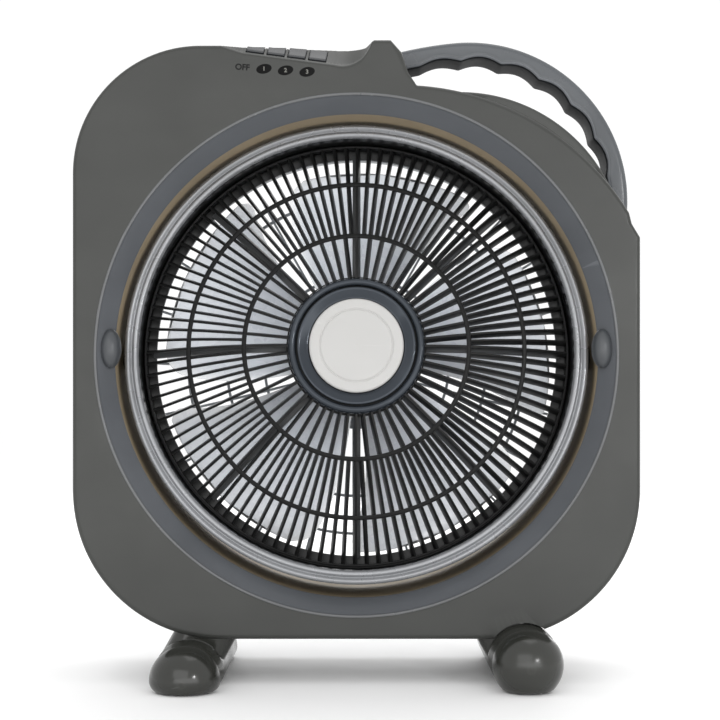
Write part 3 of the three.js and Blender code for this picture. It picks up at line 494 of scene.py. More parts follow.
def housing_outline(inset):
    right, bottom, top = HALF_WIDTH - inset, -HALF_WIDTH + inset, HOUSING_TOP - inset
    low, high = CORNER_BOTTOM - inset, CORNER_TOP - inset
    points = arc((right - low, bottom + low), low, -math.pi / 2, 0)
    points.append(Vector((right, 86)))
    points.append(Vector((SHOULDER_END.x + 2 - inset, SHOULDER_END.y - 8)))
    points += shoulder(inset)
    points += [Vector((38 - inset, 206)), Vector((33 - inset, 221 - inset))]
    points += [Vector((25, PEAK_TOP - inset)), Vector((13, PEAK_TOP - inset)), Vector((7, top))]
    points += arc((-right + high, top - high), high, math.pi / 2, math.pi)
    points += arc((-right + low, bottom + low), low, math.pi, 1.5 * math.pi)
    return points


def shoulder(inset):
    """The falling arc under the handle."""
    chord = SHOULDER_END - SHOULDER_START
    drop = math.sqrt(SHOULDER_R**2 - (chord.length / 2) ** 2)
    across = Vector((chord.y, -chord.x)).normalized()
    centre = (SHOULDER_START + SHOULDER_END) / 2 + across * drop
    start, end = direction(SHOULDER_END - centre), direction(SHOULDER_START - centre)
    return arc(centre, SHOULDER_R - inset, start, end)


def recess_edge():
    """The front line of the keys' recess, from left to right."""
    dip = DECK_LEFT.y + DECK_FALL * (-16 - DECK_LEFT.x)
    points = [Vector((-102, HOUSING_TOP + 1)), DECK_LEFT, Vector((-16, dip))]
    points += quadratic((-16, dip), (-6, 209.5), (3, 216))
    points += quadratic((3, 216), (8, 220), (11.5, PEAK_TOP))
    points.append(Vector((14, PEAK_TOP + 30)))
    return points


def quadratic(start, bend, end, steps=12):
    a, b, c = Vector(start), Vector(bend), Vector(end)
    return [a * (1 - t) ** 2 + b * 2 * t * (1 - t) + c * t * t
            for t in (k / steps for k in range(1, steps + 1))]


def polar(points, angles, closed=True, outside=NEVER):
    """How far out a star-shaped line is at each angle, or "outside" where the line isn't."""
    line = points + points[:1] if closed else points
    dense = []
    for a, b in zip(line, line[1:]):
        count = max(1, int((b - a).length / 0.5))
        dense += [a.lerp(b, k / count) for k in range(count)]
    dense.append(line[-1])
    turn = np.array([direction(p) for p in dense]) % (2 * math.pi)
    reach = np.array([p.length for p in dense])
    order = np.argsort(turn)
    if closed:
        return np.interp(angles, turn[order], reach[order], period=2 * math.pi)
    return np.interp(angles, turn[order], reach[order], left=outside, right=outside)


def crest_reach(inset, angles):
    start, end = direction(CREST_FROM - CREST_CENTRE), direction(CREST_TO - CREST_CENTRE)
    return polar(arc(CREST_CENTRE, CREST_R - inset, start, end), angles, False, 0)


def shell_angles():
    coarse = np.arange(0, 360, 1.0)
    fine = np.concatenate([np.arange(74, 118, 0.16), np.arange(21, 30, 0.2)])
    return np.radians(np.unique(np.round(np.concatenate([coarse, fine]), 3)))


def side_reach(depth, inset, angles, recessed):
    """The housing's outer side at a depth behind its face, with the crest and the keys' deck."""
    reach = polar(housing_outline(inset), angles)
    flat_from = HALF_DEPTH - CREST_HALF_DEPTH + EDGE_ROUND
    if depth > flat_from - EDGE_ROUND:
        short = max(0, (flat_from - depth) / EDGE_ROUND)
        crest = crest_reach(EDGE_ROUND * (1 - math.sqrt(1 - short**2)), angles)
        reach = np.maximum(reach, crest)
    if recessed and depth < DECK_END:
        rise = DECK_RISE * max(0, depth - DECK_START)
        raised = [p + Vector((0, rise)) for p in recess_edge()]
        reach = np.minimum(reach, polar(raised, angles, False) - inset)
    return reach


def shell_rows(recessed):
    """(radius at each angle, depth) rows of the shell's closed section, outside first."""
    angles = shell_angles()
    seam = HALF_DEPTH - SEAM_GAP
    crest_edge = HALF_DEPTH - CREST_HALF_DEPTH
    depths = [seam, 45, 30, DECK_END + 2, DECK_END, 21.5, 20.9, 20.1, 19.2, 18.5, crest_edge + 0.01]
    depths += [*np.arange(crest_edge, EDGE_ROUND, -0.75), EDGE_ROUND + 0.3]
    rows = [(side_reach(d, 0, angles, recessed), d) for d in depths]
    for k in range(1, 9):
        turn = math.radians(k * 90 / 8)
        inset, depth = EDGE_ROUND * (1 - math.cos(turn)), EDGE_ROUND * (1 - math.sin(turn))
        rows.append((side_reach(depth, inset, angles, recessed), depth))
    face = rows[-1][0]
    rows += [(np.maximum(face - 0.8, DISH_R + 2), 0), (face * 0.5 + (DISH_R + 3) * 0.5, 0)]
    slope = [Vector((DISH_R + 2.4, 0)), Vector((DISH_R + 1.4, 0)), Vector((DISH_R + 0.8, -0.5)),
             Vector((DISH_R - 0.5, -0.4)), Vector((DISH_R - 1, 1)), Vector((DRUM_R, DISH_DEPTH)),
             Vector((DRUM_R, DISH_DEPTH + 3))]
    rows += [(p.x + 0 * angles, p.y) for p in filleted(slope, 0.9, closed=False, steps=4)]
    rows += [(DRUM_R + 0 * angles, d) for d in (DISH_DEPTH + 3.6, 30, 45, seam)]
    inner = [(DRUM_R + WALL, seam), (DRUM_R + WALL, DISH_DEPTH + 3), (DISH_R + WALL + 1, WALL)]
    rows += [(r + 0 * angles, d) for r, d in inner]
    for depth in (WALL, 6, 10, 14, 18, DECK_END, 30, seam):
        outer = side_reach(depth, 0, angles, recessed)
        rows.append((np.maximum(outer - WALL - 1, DISH_R + WALL + 1.5), depth))
    return angles, rows


def shell_form(recessed, facing):
    """The closed skin of one shell half. facing is -1 for the front and 1 for the rear."""
    angles, rows = shell_rows(recessed)
    rings = [[(r * math.cos(a), facing * (HALF_DEPTH - depth), r * math.sin(a))
              for r, a in zip(reach, angles)] for reach, depth in rows]
    return skin(rings, closed=True)


# Look numbers on a shell, in the order of SHELL_LOOKS; drum, dish and edge carry painted light.
ON_FACE, ON_DRUM, ON_DISH, ON_EDGE = range(4)
SHELL_LOOKS = [HOUSING_GREY, DRUM_PAINTED_REFLECTION, DISH_PAINTED_SHEEN, DISH_EDGE_PAINTED_HIGHLIGHT]


def shell_look(r, y):
    """Painted light: warm reflection on the drum, bluish sheen on the dish, highlight on its edge."""
    if r > DISH_R + 1.3 or y > HALF_DEPTH + 1:
        return ON_FACE
    if r > DISH_R - 0.7 and y > HALF_DEPTH - 2:
        return ON_EDGE
    if y > HALF_DEPTH - DISH_DEPTH - 0.6 and r < DISH_R + 1:
        return ON_DISH
    return ON_DRUM


def add_shell(name, node, recessed, facing, cutters):
    made = new_object(name, [(shell_form(recessed, facing), ON_FACE)], HOUSING, SHELL_LOOKS)
    for polygon in made.data.polygons:
        middle = HOUSING.inverted() @ polygon.center
        polygon.material_index = shell_look(math.hypot(middle.x, middle.z), abs(middle.y))
    boolean(made, cutters, HOUSING, "DIFFERENCE", SHELL_SHARP_FROM)
    return fitted(made, "housing", "housing_grey", node)


# ---- Keys, on the sloping deck: u to the right, v up to the back, n off the deck ----
KEY_NODES = ["key_off", "key_1", "key_2", "key_3"]
KEY_BODIES = ["off_key", "speed_key_1", "speed_key_2", "speed_key_3"]
FIRST_KEY_X = -74.5
KEY_PITCH = 15.2
KEY_WIDTH = 13
KEY_LENGTH = 13.6
KEY_PROUD = 0.7
KEY_SLIT = 3.4  # the dark gap in front of each key
KEY_STEM = 9
KEY_UNDER = -4  # the underside at a key's front; it falls away towards the back
KEY_END_SHARE = 9  # each end is eased over this part of the length
KEY_ABOVE_TOP = 0.9
DECK_N = Vector((-DECK_FALL, -DECK_RISE, 1)).normalized()
DECK_U = Vector((1, 0, DECK_FALL)).normalized()
DECK_V = DECK_N.cross(DECK_U)


def key_place(index):
    x = FIRST_KEY_X + KEY_PITCH * index
    z = DECK_LEFT.y + DECK_FALL * (x - DECK_LEFT.x)
    basis = Matrix((DECK_U, DECK_V, DECK_N)).transposed().to_4x4()
    return Matrix.Translation((x, -HALF_DEPTH + DECK_START, z)) @ basis


def at_key(form, index):
    place = key_place(index)
    return [place @ Vector(p) for p in form[0]], form[1]


def key_slot(index):
    half = KEY_WIDTH / 2 + 0.3
    return at_key(block((-half, 0.6, -14), (half, KEY_SLIT + KEY_LENGTH + 0.4, 12)), index)


def key_pad(index):
    """A key's cap: a soft-cornered tongue, dished across its middle."""
    half, rings = KEY_WIDTH / 2, []
    deepest = KEY_UNDER - KEY_LENGTH * (1 - index / 3)
    sides = [(-half, deepest), (half, deepest), (half, KEY_PROUD), (-half, KEY_PROUD)]
    stations = 22
    for i in range(stations + 1):
        v = i / stations
        from_end = min(v, 1 - v)
        ease = 1
        if from_end < 1 / KEY_END_SHARE:
            ease = min(1, math.sqrt(max(0, 1 - (1 - from_end * KEY_END_SHARE) ** 2)))
        top = KEY_PROUD - 0.9 * (1 - ease)
        dish = 0.45 * math.sin(math.pi * v)
        low = KEY_UNDER + (deepest - KEY_UNDER) * v
        corners = [(x, top if n > 0 else low) for x, n in sides]
        line = filleted([Vector(c) for c in corners], 1.1, True, 4)
        rings.append([(p.x, KEY_SLIT + KEY_LENGTH * v,
                       p.y - (dish * (1 - (p.x / half) ** 2) if p.y > 0 else 0)) for p in line])
    return skin(rings)


def levelled(form):
    """A key's back part runs level just above the housing's top."""
    points = [Vector((p.x, p.y, min(p.z, HOUSING_TOP + KEY_ABOVE_TOP))) for p in form[0]]
    return points, form[1]


def add_keys():
    for index, (node, body) in enumerate(zip(KEY_NODES, KEY_BODIES)):
        pad = new_object("cap_" + node, [(levelled(at_key(key_pad(index), index)), 0)], HOUSING,
                         [KEY_GREY])
        stem = at_key(block((-3, 7, -KEY_STEM), (3, 11, -3)), index)
        boolean(pad, [stem], HOUSING, "UNION")
        fitted(pad, body, "key_grey", node)


# ---- Printed marks beside the keys ----
MARK_FIRST = Vector((-67.3, 208.4))  # middle of the first oval
MARK_PITCH = 15.7
MARK_FALL = -0.07
MARK_PROUD = 0.06
OVAL_TILT = math.radians(11)  # the ovals rise to the right


def mark_height(x):
    return MARK_FIRST.y + MARK_FALL * (x - MARK_FIRST.x)


def add_lettering(name, words, x, size, proud, look, slant):
    curve = bpy.data.curves.new(name, "FONT")
    curve.body = words
    curve.size = size * MM
    curve.align_x = "CENTER"
    curve.align_y = "CENTER"
    curve.extrude = proud * MM / 2
    curve.offset = size * MM * 0.03
    curve.materials.append(look)
    text = bpy.data.objects.new(name, curve)
    bpy.context.scene.collection.objects.link(text)
    bpy.context.view_layer.update()
    graph = bpy.context.evaluated_depsgraph_get()
    mesh = bpy.data.meshes.new_from_object(text.evaluated_get(graph))
    bpy.data.objects.remove(text)
    z = mark_height(x)
    where = AXIS_POINT + Vector((x, -HALF_DEPTH - proud / 2, z)) * MM
    mesh.transform(Matrix.Translation(where) @ Matrix.Rotation(slant, 4, "Y")
                   @ Matrix.Rotation(math.pi / 2, 4, "X"))
    made = bpy.data.objects.new(name, mesh)
    bpy.context.scene.collection.objects.link(made)
    return fitted(made, "housing", "louver_black")


def oval(x, half_width, half_height, proud, slant):
    """A thin printed oval on the housing's face."""
    z = mark_height(x)
    rings = []
    for grow, y in ((1.0, 0.05), (1.0, -proud * 0.6), (0.96, -proud)):
        rings.append([(half_width * grow * math.cos(a), y, half_height * grow * math.sin(a))
                      for a in (2 * math.pi * k / 48 for k in range(48))])
    return moved(turned(skin(rings), slant), (x, -HALF_DEPTH, z))


def add_marks():
    add_lettering("mark_off", "OFF", MARK_FIRST.x - MARK_PITCH, 6.0, 2 * MARK_PROUD, MARK_BLACK,
                  math.atan(-MARK_FALL))
    for number in (1, 2, 3):
        x = MARK_FIRST.x + MARK_PITCH * (number - 1)
        made = new_object(f"mark_oval_{number}", [(oval(x, 5.7, 3.5, MARK_PROUD, -OVAL_TILT), 0)],
                          HOUSING, [MARK_BLACK])
        fitted(made, "housing", "louver_black")
        add_lettering(f"mark_{number}", str(number), x, 4.2, 2.4 * MARK_PROUD, MARK_PALE, 0)


# ---- Handle ----
HANDLE_CENTRE = Vector((85, 118))
HANDLE_R = 120.5
HANDLE_HALF_DEPTH = 18
HANDLE_THICKNESS = 15
HANDLE_FROM = math.radians(-14)
HANDLE_TO = math.radians(117)
GRIP_FROM = math.radians(10)
GRIP_TO = math.radians(110)
GRIP_SCALLOPS = 6
SCALLOP_DEPTH = 3.4
HANDLE_FOOT_Z = 89
LEFT_END_FROM = math.radians(96)  # from here the handle flattens towards the housing
LEFT_END_RISE = 5
ON_BAR, ON_GRIP, ON_GRIP_EDGE = range(3)
FACES_IN = 0.8  # how squarely a face looks at the handle's centre to be painted dark as the grip's shade
TURNS_IN = 0.3  # and to be the grip's front edge, painted pale as a highlight


def handle_section(angle):
    rise = LEFT_END_RISE * max(0, (angle - LEFT_END_FROM) / (HANDLE_TO - LEFT_END_FROM)) ** 2
    along = (angle - GRIP_FROM) / (GRIP_TO - GRIP_FROM)
    wave = 0
    if 0 <= along <= 1:
        swing = math.sin(along * GRIP_SCALLOPS * math.pi)
        wave = math.sqrt(swing**2 + 0.004) - 0.063
    inner = HANDLE_R - HANDLE_THICKNESS + SCALLOP_DEPTH * wave + rise
    outer = HANDLE_R + rise
    corners = [(inner, -HANDLE_HALF_DEPTH), (outer, -HANDLE_HALF_DEPTH),
               (outer, HANDLE_HALF_DEPTH), (inner, HANDLE_HALF_DEPTH)]
    line = filleted([Vector(c) for c in corners], 4.6, True, 7)
    return [(HANDLE_CENTRE.x + p.x * math.cos(angle), p.y, HANDLE_CENTRE.y + p.x * math.sin(angle))
            for p in line]


def add_handle():
    count = 170
    rings = [handle_section(HANDLE_FROM + (HANDLE_TO - HANDLE_FROM) * i / count)
             for i in range(count + 1)]
    made = new_object("handle_bar", [(skin(rings), ON_BAR)], HOUSING,
                      [HANDLE_GREY, GRIP_PAINTED_SHADE, GRIP_PAINTED_HIGHLIGHT])
    # Painted light: faces turned in to the handle's centre get painted shade, its front inner edge a painted
    # highlight.
    for polygon in made.data.polygons:
        middle = HOUSING.inverted() @ polygon.center
        out = Vector((middle.x, middle.z)) - HANDLE_CENTRE
        inward = -(out.normalized().dot(Vector((polygon.normal.x, polygon.normal.z))))
        if inward > FACES_IN:
            polygon.material_index = ON_GRIP
        elif inward > TURNS_IN and polygon.normal.y < 0:
            polygon.material_index = ON_GRIP_EDGE
    below = block((150, -40, -40), (260, 40, HANDLE_FOOT_Z))
    boolean(made, [below], HOUSING, "DIFFERENCE")
    fitted(made, "housing", "handle_grey", "carry_handle")


# ---- Feet: heights above the floor ----
FOOT_X = 122
FOOT_R = 25.5
NOSE_LENGTH = 24
SADDLE_TOP_Z = 62
FOOT_LEAN = 0.56
FEET = {"left": (-1, 32.6), "right": (1, 44)}  # side, and the tube's top


def tube_ring(side, y, top, shrink, grow=0.0, sides=56):
    widest = top - 24.5
    ring = []
    for k in range(sides):
        angle = 2 * math.pi * k / sides
        up = math.sin(angle)
        reach = ((top - widest) if up > 0 else (widest + 6)) * shrink + grow
        z = max(widest + reach * up, FOOT_BASE_Z)
        ring.append((side * FOOT_X + (FOOT_R * shrink + grow) * math.cos(angle), y, z))
    return ring


def foot_form(side, top):
    rings = []
    for k in range(15):
        turn = math.radians(3 + 87 * k / 14)
        y = FOOT_HALF_LENGTH - NOSE_LENGTH * (1 - math.cos(math.pi / 2 - turn))
        shrink = math.sqrt(max(0, 1 - ((y - FOOT_HALF_LENGTH + NOSE_LENGTH) / NOSE_LENGTH) ** 2))
        rings.append(tube_ring(side, -y, top, shrink))
    tail = [[(x, -y, z) for x, y, z in ring] for ring in reversed(rings)]
    middle = [tube_ring(side, y, top, 1) for y in (-60, -30, 0, 30, 60)]
    return skin(rings + middle + tail)


def saddle_form(side):
    half, end = 24.5, HALF_DEPTH - WALL - 0.6
    corners = [(-half, end), (half, end), (half, -end), (-half, -end)]
    line = filleted([Vector(c) for c in corners], 14, True, 8)
    rings = []
    for z in (12, 24, 36, 48, SADDLE_TOP_Z):
        middle = side * (FOOT_X - FOOT_LEAN * (z - 16))
        rings.append([(middle + p.x, p.y, z) for p in line])
    return skin(rings)


def add_feet():
    for where, (side, top) in FEET.items():
        made = new_object("skid_" + where, [(foot_form(side, top), 0)], FLOOR, [FOOT_GREY])
        boolean(made, [saddle_form(side)], FLOOR, "UNION")
        fitted(made, "housing", "housing_grey", "foot_" + where)


def foot_arch(side, top):
    """The arch that lets a foot's tube through the housing's lower edge."""
    rings = [tube_ring(side, y, top, 1, grow=1.2) for y in (-HALF_DEPTH - 8, HALF_DEPTH + 8)]
    lift = AXIS_POINT.z / MM
    return moved(skin(rings), (0, 0, -lift))


# ---- Housing hardware ----
SCREW_PLACES = [(-158, -158), (158, -158), (0, -194), (-158, 166), (3, 203), (188, 66)]
SCREW_HEAD_R = 4
SCREW_HEAD_TOP = 58
INLET = (-140, -172)
INLET_R = 8
CAP_CENTRE = Vector((180.5, -51, 5))
CAP_SIZE = Vector((8, 8.5, 14.5))


def screw_form(radius, shank, length, top, dome=0.8):
    """A pan-head screw about Y with its head towards +Y."""
    under = top - 3
    profile = [(0, under - length), (shank, under - length + 2), (shank, under), (radius, under),
               (radius, top - dome), (radius * 0.6, top - 0.15), (0, top)]
    return lathe(profile, 0.35, 40)


def cross_form(arm, width, top, depth=1.4):
    return [block((-arm, top - depth, -width), (arm, top + 1, width)),
            block((-width, top - depth, -arm), (width, top + 1, arm))]


def add_screw(name, node, body, place, radius, shank, length, top, frame_at):
    x, z = place
    made = new_object(name, [(moved(screw_form(radius, shank, length, top), (x, 0, z)), 0)],
                      frame_at, [STEEL])
    cross = [moved(form, (x, 0, z)) for form in cross_form(radius * 0.6, radius * 0.14, top)]
    boolean(made, cross, frame_at, "DIFFERENCE")
    fitted(made, body, "steel", node)


def add_hardware():
    for number, place in enumerate(SCREW_PLACES, start=1):
        add_screw(f"case_screw_{number}", f"shell_screw_{number}", "housing", place,
                  SCREW_HEAD_R, 2, 73, SCREW_HEAD_TOP, HOUSING)
    for where, side in (("left", -1), ("right", 1)):
        ball = []
        for k in range(1, 24):
            tip = math.pi * k / 24
            ball.append([(side * (CAP_CENTRE.x + CAP_SIZE.x * math.sin(tip) * math.cos(a)),
                          CAP_CENTRE.y - CAP_SIZE.y * math.sin(tip) * math.sin(a),
                          CAP_CENTRE.z + CAP_SIZE.z * math.cos(tip))
                         for a in (2 * math.pi * j / 40 for j in range(40))])
        made = new_object("trim_cap_" + where, [(skin(ball), 0)], HOUSING, [HEAD_GREY])
        fitted(made, "housing", "head_grey", "pivot_cap_" + where)
    collar = lathe([(4, HALF_DEPTH - 12), (INLET_R, HALF_DEPTH - 12), (INLET_R, HALF_DEPTH + 0.3),
                    (INLET_R + 4, HALF_DEPTH + 0.3), (INLET_R + 2, HALF_DEPTH + 4),
                    (4, HALF_DEPTH + 4)], 1.0, 64)
    made = new_object("inlet_collar", [(moved(collar, (INLET[0], 0, INLET[1])), 0)],
                      HOUSING, [RUBBER])
    fitted(made, "housing", "rubber", "cord_inlet")


def rear_cutters():
    holes = [moved(lathe([(0, 50), (4.4, 50), (4.4, 64), (0, 64)], 0.01, 40, 1), (x, 0, z))
             for x, z in SCREW_PLACES]
    inlet = lathe([(0, 50), (INLET_R + 0.2, 50), (INLET_R + 0.2, 64), (0, 64)], 0.01, 48, 1)
    return [*holes, moved(inlet, (INLET[0], 0, INLET[1])), foot_arch(*FEET["right"])]


def front_cutters():
    return [*[key_slot(i) for i in range(4)], foot_arch(*FEET["right"])]


# ---- Head ----
SHROUD_IN = HEAD_R - 4.5
RIM_OUT = SHROUD_IN - 0.3
LOUVER_HUB_R = 50
LOUVER_RIM_Y = -24
LOUVER_RISE = 40
INNER_RING_R = 82
OUTER_RING_R = 124
SPIDER_ARMS = 8
SPIDER_BEHIND = 12
SPINDLE_R = 4


def dome_y(r):
    out = (r - LOUVER_HUB_R) / (LOUVER_R - LOUVER_HUB_R)
    return LOUVER_RIM_Y - LOUVER_RISE * (1 - out**2)


def dome_bar(radii, width, depth, behind, slant, round_off):
    """A bar along the dome, its front edge rounded, leaning sideways as it goes back."""
    rings = []
    for r in radii:
        front = dome_y(r) + behind
        corners = [(-width / 2, 0), (width / 2, 0), (width / 2, depth), (-width / 2, depth)]
        line = filleted([Vector(c) for c in corners], round_off, True, 2)
        rings.append([(p.x + p.y * math.tan(slant), front + p.y, r) for p in line])
    return skin(rings)


def spaced(start, end, count):
    return [start + (end - start) * i / count for i in range(count + 1)]


def add_head_rings():
    shroud = lathe([(SHROUD_IN, -HEAD_HALF_DEPTH), (HEAD_R, -HEAD_HALF_DEPTH),
                    (HEAD_R, HEAD_HALF_DEPTH), (SHROUD_IN, HEAD_HALF_DEPTH)], 1.2, 192)
    made = new_object("head_drum", [(shroud, 0)], HEAD, [HEAD_GREY])
    fitted(made, "head", "head_grey", "head_shroud")
    back = -HEAD_HALF_DEPTH - 0.3
    ridge = [(162, back), (HEAD_R, back), (HEAD_R, -36.6), (171.2, -38.2), (169.6, -38.5),
             (168.2, -37.2), (167.4, -36.5), (166.6, -37.2), (165.6, -38.6), (163.6, -38.3),
             (162, -36.6)]
    made = new_object("bezel_ring", [(lathe(ridge, 0.7, 220, 3), 0)], HEAD, [BEZEL_SILVER])
    fitted(made, "head", "bezel_silver", "head_bezel")


def add_spider():
    front = -HEAD_HALF_DEPTH + 0.1
    inside = LOUVER_R + 1.6
    funnel = lathe([(LOUVER_R - 8, -10), (RIM_OUT, -10), (RIM_OUT, front), (162.3, front),
                    (inside + 0.5, LOUVER_RIM_Y - 6), (inside, LOUVER_RIM_Y - 1),
                    (inside, -14), (LOUVER_R - 8, -14)], 0.5, 200)
    arm = dome_bar(spaced(16, LOUVER_R - 6, 14), 6, 5, SPIDER_BEHIND, 0, 1.2)
    boss_front = dome_y(LOUVER_HUB_R) + SPIDER_BEHIND - 2
    boss = lathe([(SPINDLE_R + 0.3, boss_front), (20, boss_front), (20, boss_front + 9),
                  (SPINDLE_R + 0.3, boss_front + 9)], 1, 64)
    made = new_object("spider_frame", [(funnel, 0), (around(arm, SPIDER_ARMS), 1), (boss, 1)],
                      HEAD, [FUNNEL_DARK, SPIDER_GREY])
    fitted(made, "head", "spider_grey", "front_spider")


# The rear guard: a shallow dome of thin ribs and hoops round the motor's plate.
GUARD_RISE = 28
GUARD_PLATE_R = 50
GUARD_RIBS = 24
GUARD_HOOPS = [74, 104, 134]


def guard_y(r):
    out = (r - GUARD_PLATE_R) / (RIM_OUT - GUARD_PLATE_R)
    return HEAD_HALF_DEPTH + GUARD_RISE * (1 - out**2)


def add_rear_guard():
    rim = lathe([(RIM_OUT - 6, HEAD_HALF_DEPTH - 8), (RIM_OUT, HEAD_HALF_DEPTH - 8),
                 (RIM_OUT, HEAD_HALF_DEPTH), (RIM_OUT - 6, HEAD_HALF_DEPTH)], 0.9, 160)
    rings = []
    for r in spaced(GUARD_PLATE_R - 2, RIM_OUT - 3, 12):
        y = guard_y(r)
        line = filleted([Vector(c) for c in ((-0.9, -5), (0.9, -5), (0.9, -1), (-0.9, -1))], 0.6,
                        True, 2)
        rings.append([(p.x, y + p.y, r) for p in line])
    ribs = around(skin(rings), GUARD_RIBS)
    hoops = [lathe([(r - 1.1, guard_y(r) - 4), (r + 1.1, guard_y(r) - 4),
                    (r + 1.1, guard_y(r) - 0.4), (r - 1.1, guard_y(r) - 0.4)], 0.7, 144, 3)
             for r in GUARD_HOOPS]
    plate_y = guard_y(GUARD_PLATE_R)
    plate = lathe([(12, plate_y - 5), (GUARD_PLATE_R, plate_y - 5), (GUARD_PLATE_R, plate_y - 1),
                   (GUARD_PLATE_R - 3, plate_y - 1), (GUARD_PLATE_R - 5, plate_y - 2.4),
                   (16, plate_y - 2.4), (14, plate_y - 1), (12, plate_y - 1)], 0.5, 96)
    made = new_object("guard_cage", [(rim, 0), (ribs, 0), (plate, 0), *[(h, 0) for h in hoops]],
                      HEAD, [GUARD_PALE])
    fitted(made, "head", "head_grey", "rear_guard")


# ---- Motor ----
MOTOR_WALL = 2.5
BEARING_R = 9
MOTOR_SCREW_PCD_R = 34


def cup_form(closed, opening):
    """One half of the motor's case, open towards the split."""
    inward = math.copysign(1, opening - closed)
    face, seat = closed + inward * MOTOR_WALL, closed + inward * 8
    edge = opening - inward * SEAM_GAP
    hole, bearing = 5, BEARING_R + 0.3
    return lathe([(hole, closed), (MOTOR_R - 5, closed), (MOTOR_R, closed + inward * 5),
                  (MOTOR_R, edge), (MOTOR_R - MOTOR_WALL, edge), (MOTOR_R - MOTOR_WALL, face),
                  (bearing + 3, face), (bearing + 3, seat), (bearing, seat), (bearing, face),
                  (hole, face)], 1.4, 96)


def vent_cutters(closed, inward):
    """Cooling slots round the motor's closed face."""
    low, high = sorted((closed - inward * 2, closed + inward * (MOTOR_WALL + 2)))
    slot = block((-1.5, low, 20), (1.5, high, 30))
    return [turned(slot, 2 * math.pi * i / 12) for i in range(12)]


def add_motor():
    split = (MOTOR_FRONT + MOTOR_BACK) / 2
    for name, closed, inward in (("front", MOTOR_FRONT, 1), ("rear", MOTOR_BACK, -1)):
        made = new_object("motor_cup_" + name, [(cup_form(closed, split), 0)], HEAD, [MOTOR_IRON])
        boolean(made, vent_cutters(closed, inward), HEAD, "DIFFERENCE")
        fitted(made, "head", "motor_iron", f"motor_{name}_cover")
    top = extent("motor_screw_1", HEAD)[1].y
    for number in range(1, 5):
        angle = (number - 0.5) * math.pi / 2
        place = (MOTOR_SCREW_PCD_R * math.cos(angle), MOTOR_SCREW_PCD_R * math.sin(angle))
        add_screw(f"plate_screw_{number}", f"motor_screw_{number}", "head", place, 3.4, 1.6, 4,
                  top, HEAD)


# ---- Rotor ----
BLADES = 5
BLADE_BACK = 15
BLADE_MID = 6
BLADE_TIP_R = 149
BLADE_HUB_R = 44
TIP_ROUND_FROM = 0.88  # share of the blade's length where its tip starts to narrow


def blade_section(along, across=22):
    r = BLADE_HUB_R - 3 + (BLADE_TIP_R - BLADE_HUB_R + 3) * along
    pitch = math.radians(28 - 18 * along)
    chord = 50 + 108 * along
    skew = 0.16 * along**2
    thickness = 2.6 - 1.2 * along
    if along > TIP_ROUND_FROM:
        chord *= 0.8 + 0.2 * math.sqrt(max(0.02, 1 - ((along - TIP_ROUND_FROM) / 0.125) ** 2))
    rows = []
    for sign in (-1, 1):
        line = []
        for j in range(across + 1):
            s = (j / across - 0.5) * chord
            edge = 1 - (2 * s / chord) ** 2
            camber = 0.07 * chord * edge + sign * thickness / 2 * min(1, 0.25 + 3 * edge)
            y = BLADE_MID - s * math.sin(pitch) + camber * math.cos(pitch)
            arc_at = (s * math.cos(pitch) + camber * math.sin(pitch)) / r + skew
            line.append((r * math.sin(arc_at), y, r * math.cos(arc_at)))
        rows.append(line)
    return rows[0] + rows[1][::-1]


def add_rotor():
    blade = skin([blade_section(i / 28) for i in range(29)])
    hub = lathe([(4.1, BLADE_FRONT), (BLADE_HUB_R - 6, BLADE_FRONT), (BLADE_HUB_R, BLADE_FRONT + 6),
                 (BLADE_HUB_R, BLADE_BACK), (BLADE_HUB_R - 3, BLADE_BACK),
                 (BLADE_HUB_R - 3, BLADE_FRONT + 8), (11, BLADE_FRONT + 6), (11, BLADE_BACK - 2),
                 (4.1, BLADE_BACK - 2)], 1.5, 96)
    made = new_object("blade_wheel", [(around(blade, BLADES), 0), (hub, 0)], HEAD, [BLADE_GREY])
    fitted(made, "rotor", "blade_grey", "fan_blade")
    nut = lathe([(4.3, BLADE_FRONT - 0.3), (16, BLADE_FRONT - 0.3), (14, BLADE_FRONT - 6),
                 (7, BLADE_FRONT - 10.5), (4.3, BLADE_FRONT - 10.5)], 0.8, 64)
    made = new_object("spinner_cap", [(nut, 0)], HEAD, [HEAD_GREY])
    fitted(made, "rotor", "head_grey", "spinner_nut")


# ---- Louver ----
OUTER_VANES = 112
INNER_VANES = 56
VANE_SLANT = math.radians(14)
VANE_WIDTH = 1.7
VANE_DEPTH = 8


def add_louver():
    outer = dome_bar(spaced(INNER_RING_R, LOUVER_R - 1.5, 10), VANE_WIDTH, VANE_DEPTH, 0,
                     VANE_SLANT, 0.6)
    inner = dome_bar(spaced(LOUVER_HUB_R - 2, INNER_RING_R, 5), VANE_WIDTH * 1.1, VANE_DEPTH, 0,
                     VANE_SLANT, 0.6)
    hoops = [lathe([(r - 1.7, dome_y(r) - 0.8), (r + 1.7, dome_y(r) - 0.3),
                    (r + 1.7, dome_y(r) + 2.2), (r - 1.7, dome_y(r) + 2.2)], 0.9, 180, 3)
             for r in (INNER_RING_R, OUTER_RING_R)]
    rim = lathe([(LOUVER_R - 1.8, LOUVER_RIM_Y - 0.5), (LOUVER_R, LOUVER_RIM_Y - 0.5),
                 (LOUVER_R, LOUVER_RIM_Y + 9), (LOUVER_R - 1.8, LOUVER_RIM_Y + 9)], 0.6, 200)
    made = new_object("louver_vanes", [(around(outer, OUTER_VANES), 0),
                                       (around(inner, INNER_VANES), 0), (rim, 0), (hub_form(), 0),
                                       *[(hoop, 0) for hoop in hoops]], HEAD, [LOUVER_BLACK])
    fitted(made, "louver", "louver_black", "louver_grille")


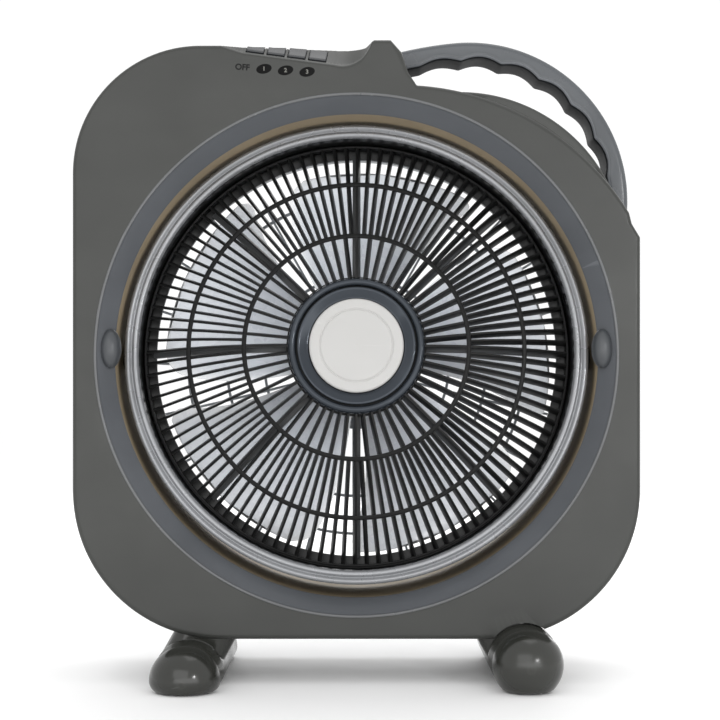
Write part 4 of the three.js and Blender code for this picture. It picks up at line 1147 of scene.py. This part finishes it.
def hub_form():
    """The grille's hub: a dished ring with a bearing sleeve on the spindle."""
    back = dome_y(LOUVER_HUB_R) + 8
    sleeve = SPINDLE_R + 0.3
    r = LOUVER_HUB_R
    return lathe([(sleeve, HUB_FRONT + 5.2), (r - 1, HUB_FRONT + 5.2), (r + 1, HUB_FRONT + 6),
                  (r + 1, back), (r - 3, back), (r - 4, HUB_FRONT + 9), (10, HUB_FRONT + 9),
                  (10, back - 1.2), (sleeve, back - 1.2)], 0.8, 128)


def add_hub_trim():
    back = HUB_FRONT + 4.9
    ring = lathe([(34.8, back), (43, back), (43, HUB_FRONT + 1.2), (41.6, HUB_FRONT + 0.9),
                  (35.8, HUB_FRONT + 3.4), (34.8, HUB_FRONT + 3.6)], 0.6, 128)
    r = LOUVER_HUB_R
    crown = lathe([(44.2, back), (44.2, HUB_FRONT + 2), (45.6, HUB_FRONT + 0.3),
                   (47.2, HUB_FRONT), (r - 1.4, HUB_FRONT + 0.8), (r - 0.3, HUB_FRONT + 3),
                   (r - 0.3, back)], 0.7, 160)
    made = new_object("hub_trim", [(ring, 0), (crown, 0)], HEAD, [HUB_BLUE])
    fitted(made, "louver", "hub_blue", "louver_hub_ring")
    groove = BADGE_R * 0.77
    disc = lathe([(5.5, back), (BADGE_R, back), (BADGE_R, HUB_FRONT + 1.4),
                  (BADGE_R - 1, HUB_FRONT + 0.5), (groove + 0.9, HUB_FRONT + 0.05),
                  (groove, HUB_FRONT + 0.8), (groove - 0.9, HUB_FRONT), (0, HUB_FRONT - 0.7),
                  (0, HUB_FRONT + 1.6), (5.5, HUB_FRONT + 1.6)], 0.45, 128)
    made = new_object("badge_disc", [(disc, 0)], HEAD, [BADGE_WHITE])
    fitted(made, "louver", "badge_white", "centre_badge")


# ---- Build ----
bpy.context.scene.view_settings.view_transform = "Standard"
add_camera()
add_floor()
add_lights()
dress_cad_nodes()
add_shell("case_front", "front_shell", True, -1, front_cutters())
add_shell("case_rear", "rear_shell", False, 1, rear_cutters())
add_keys()
add_marks()
add_handle()
add_feet()
add_hardware()
add_head_rings()
add_spider()
add_rear_guard()
add_motor()
add_rotor()
add_louver()
add_hub_trim()
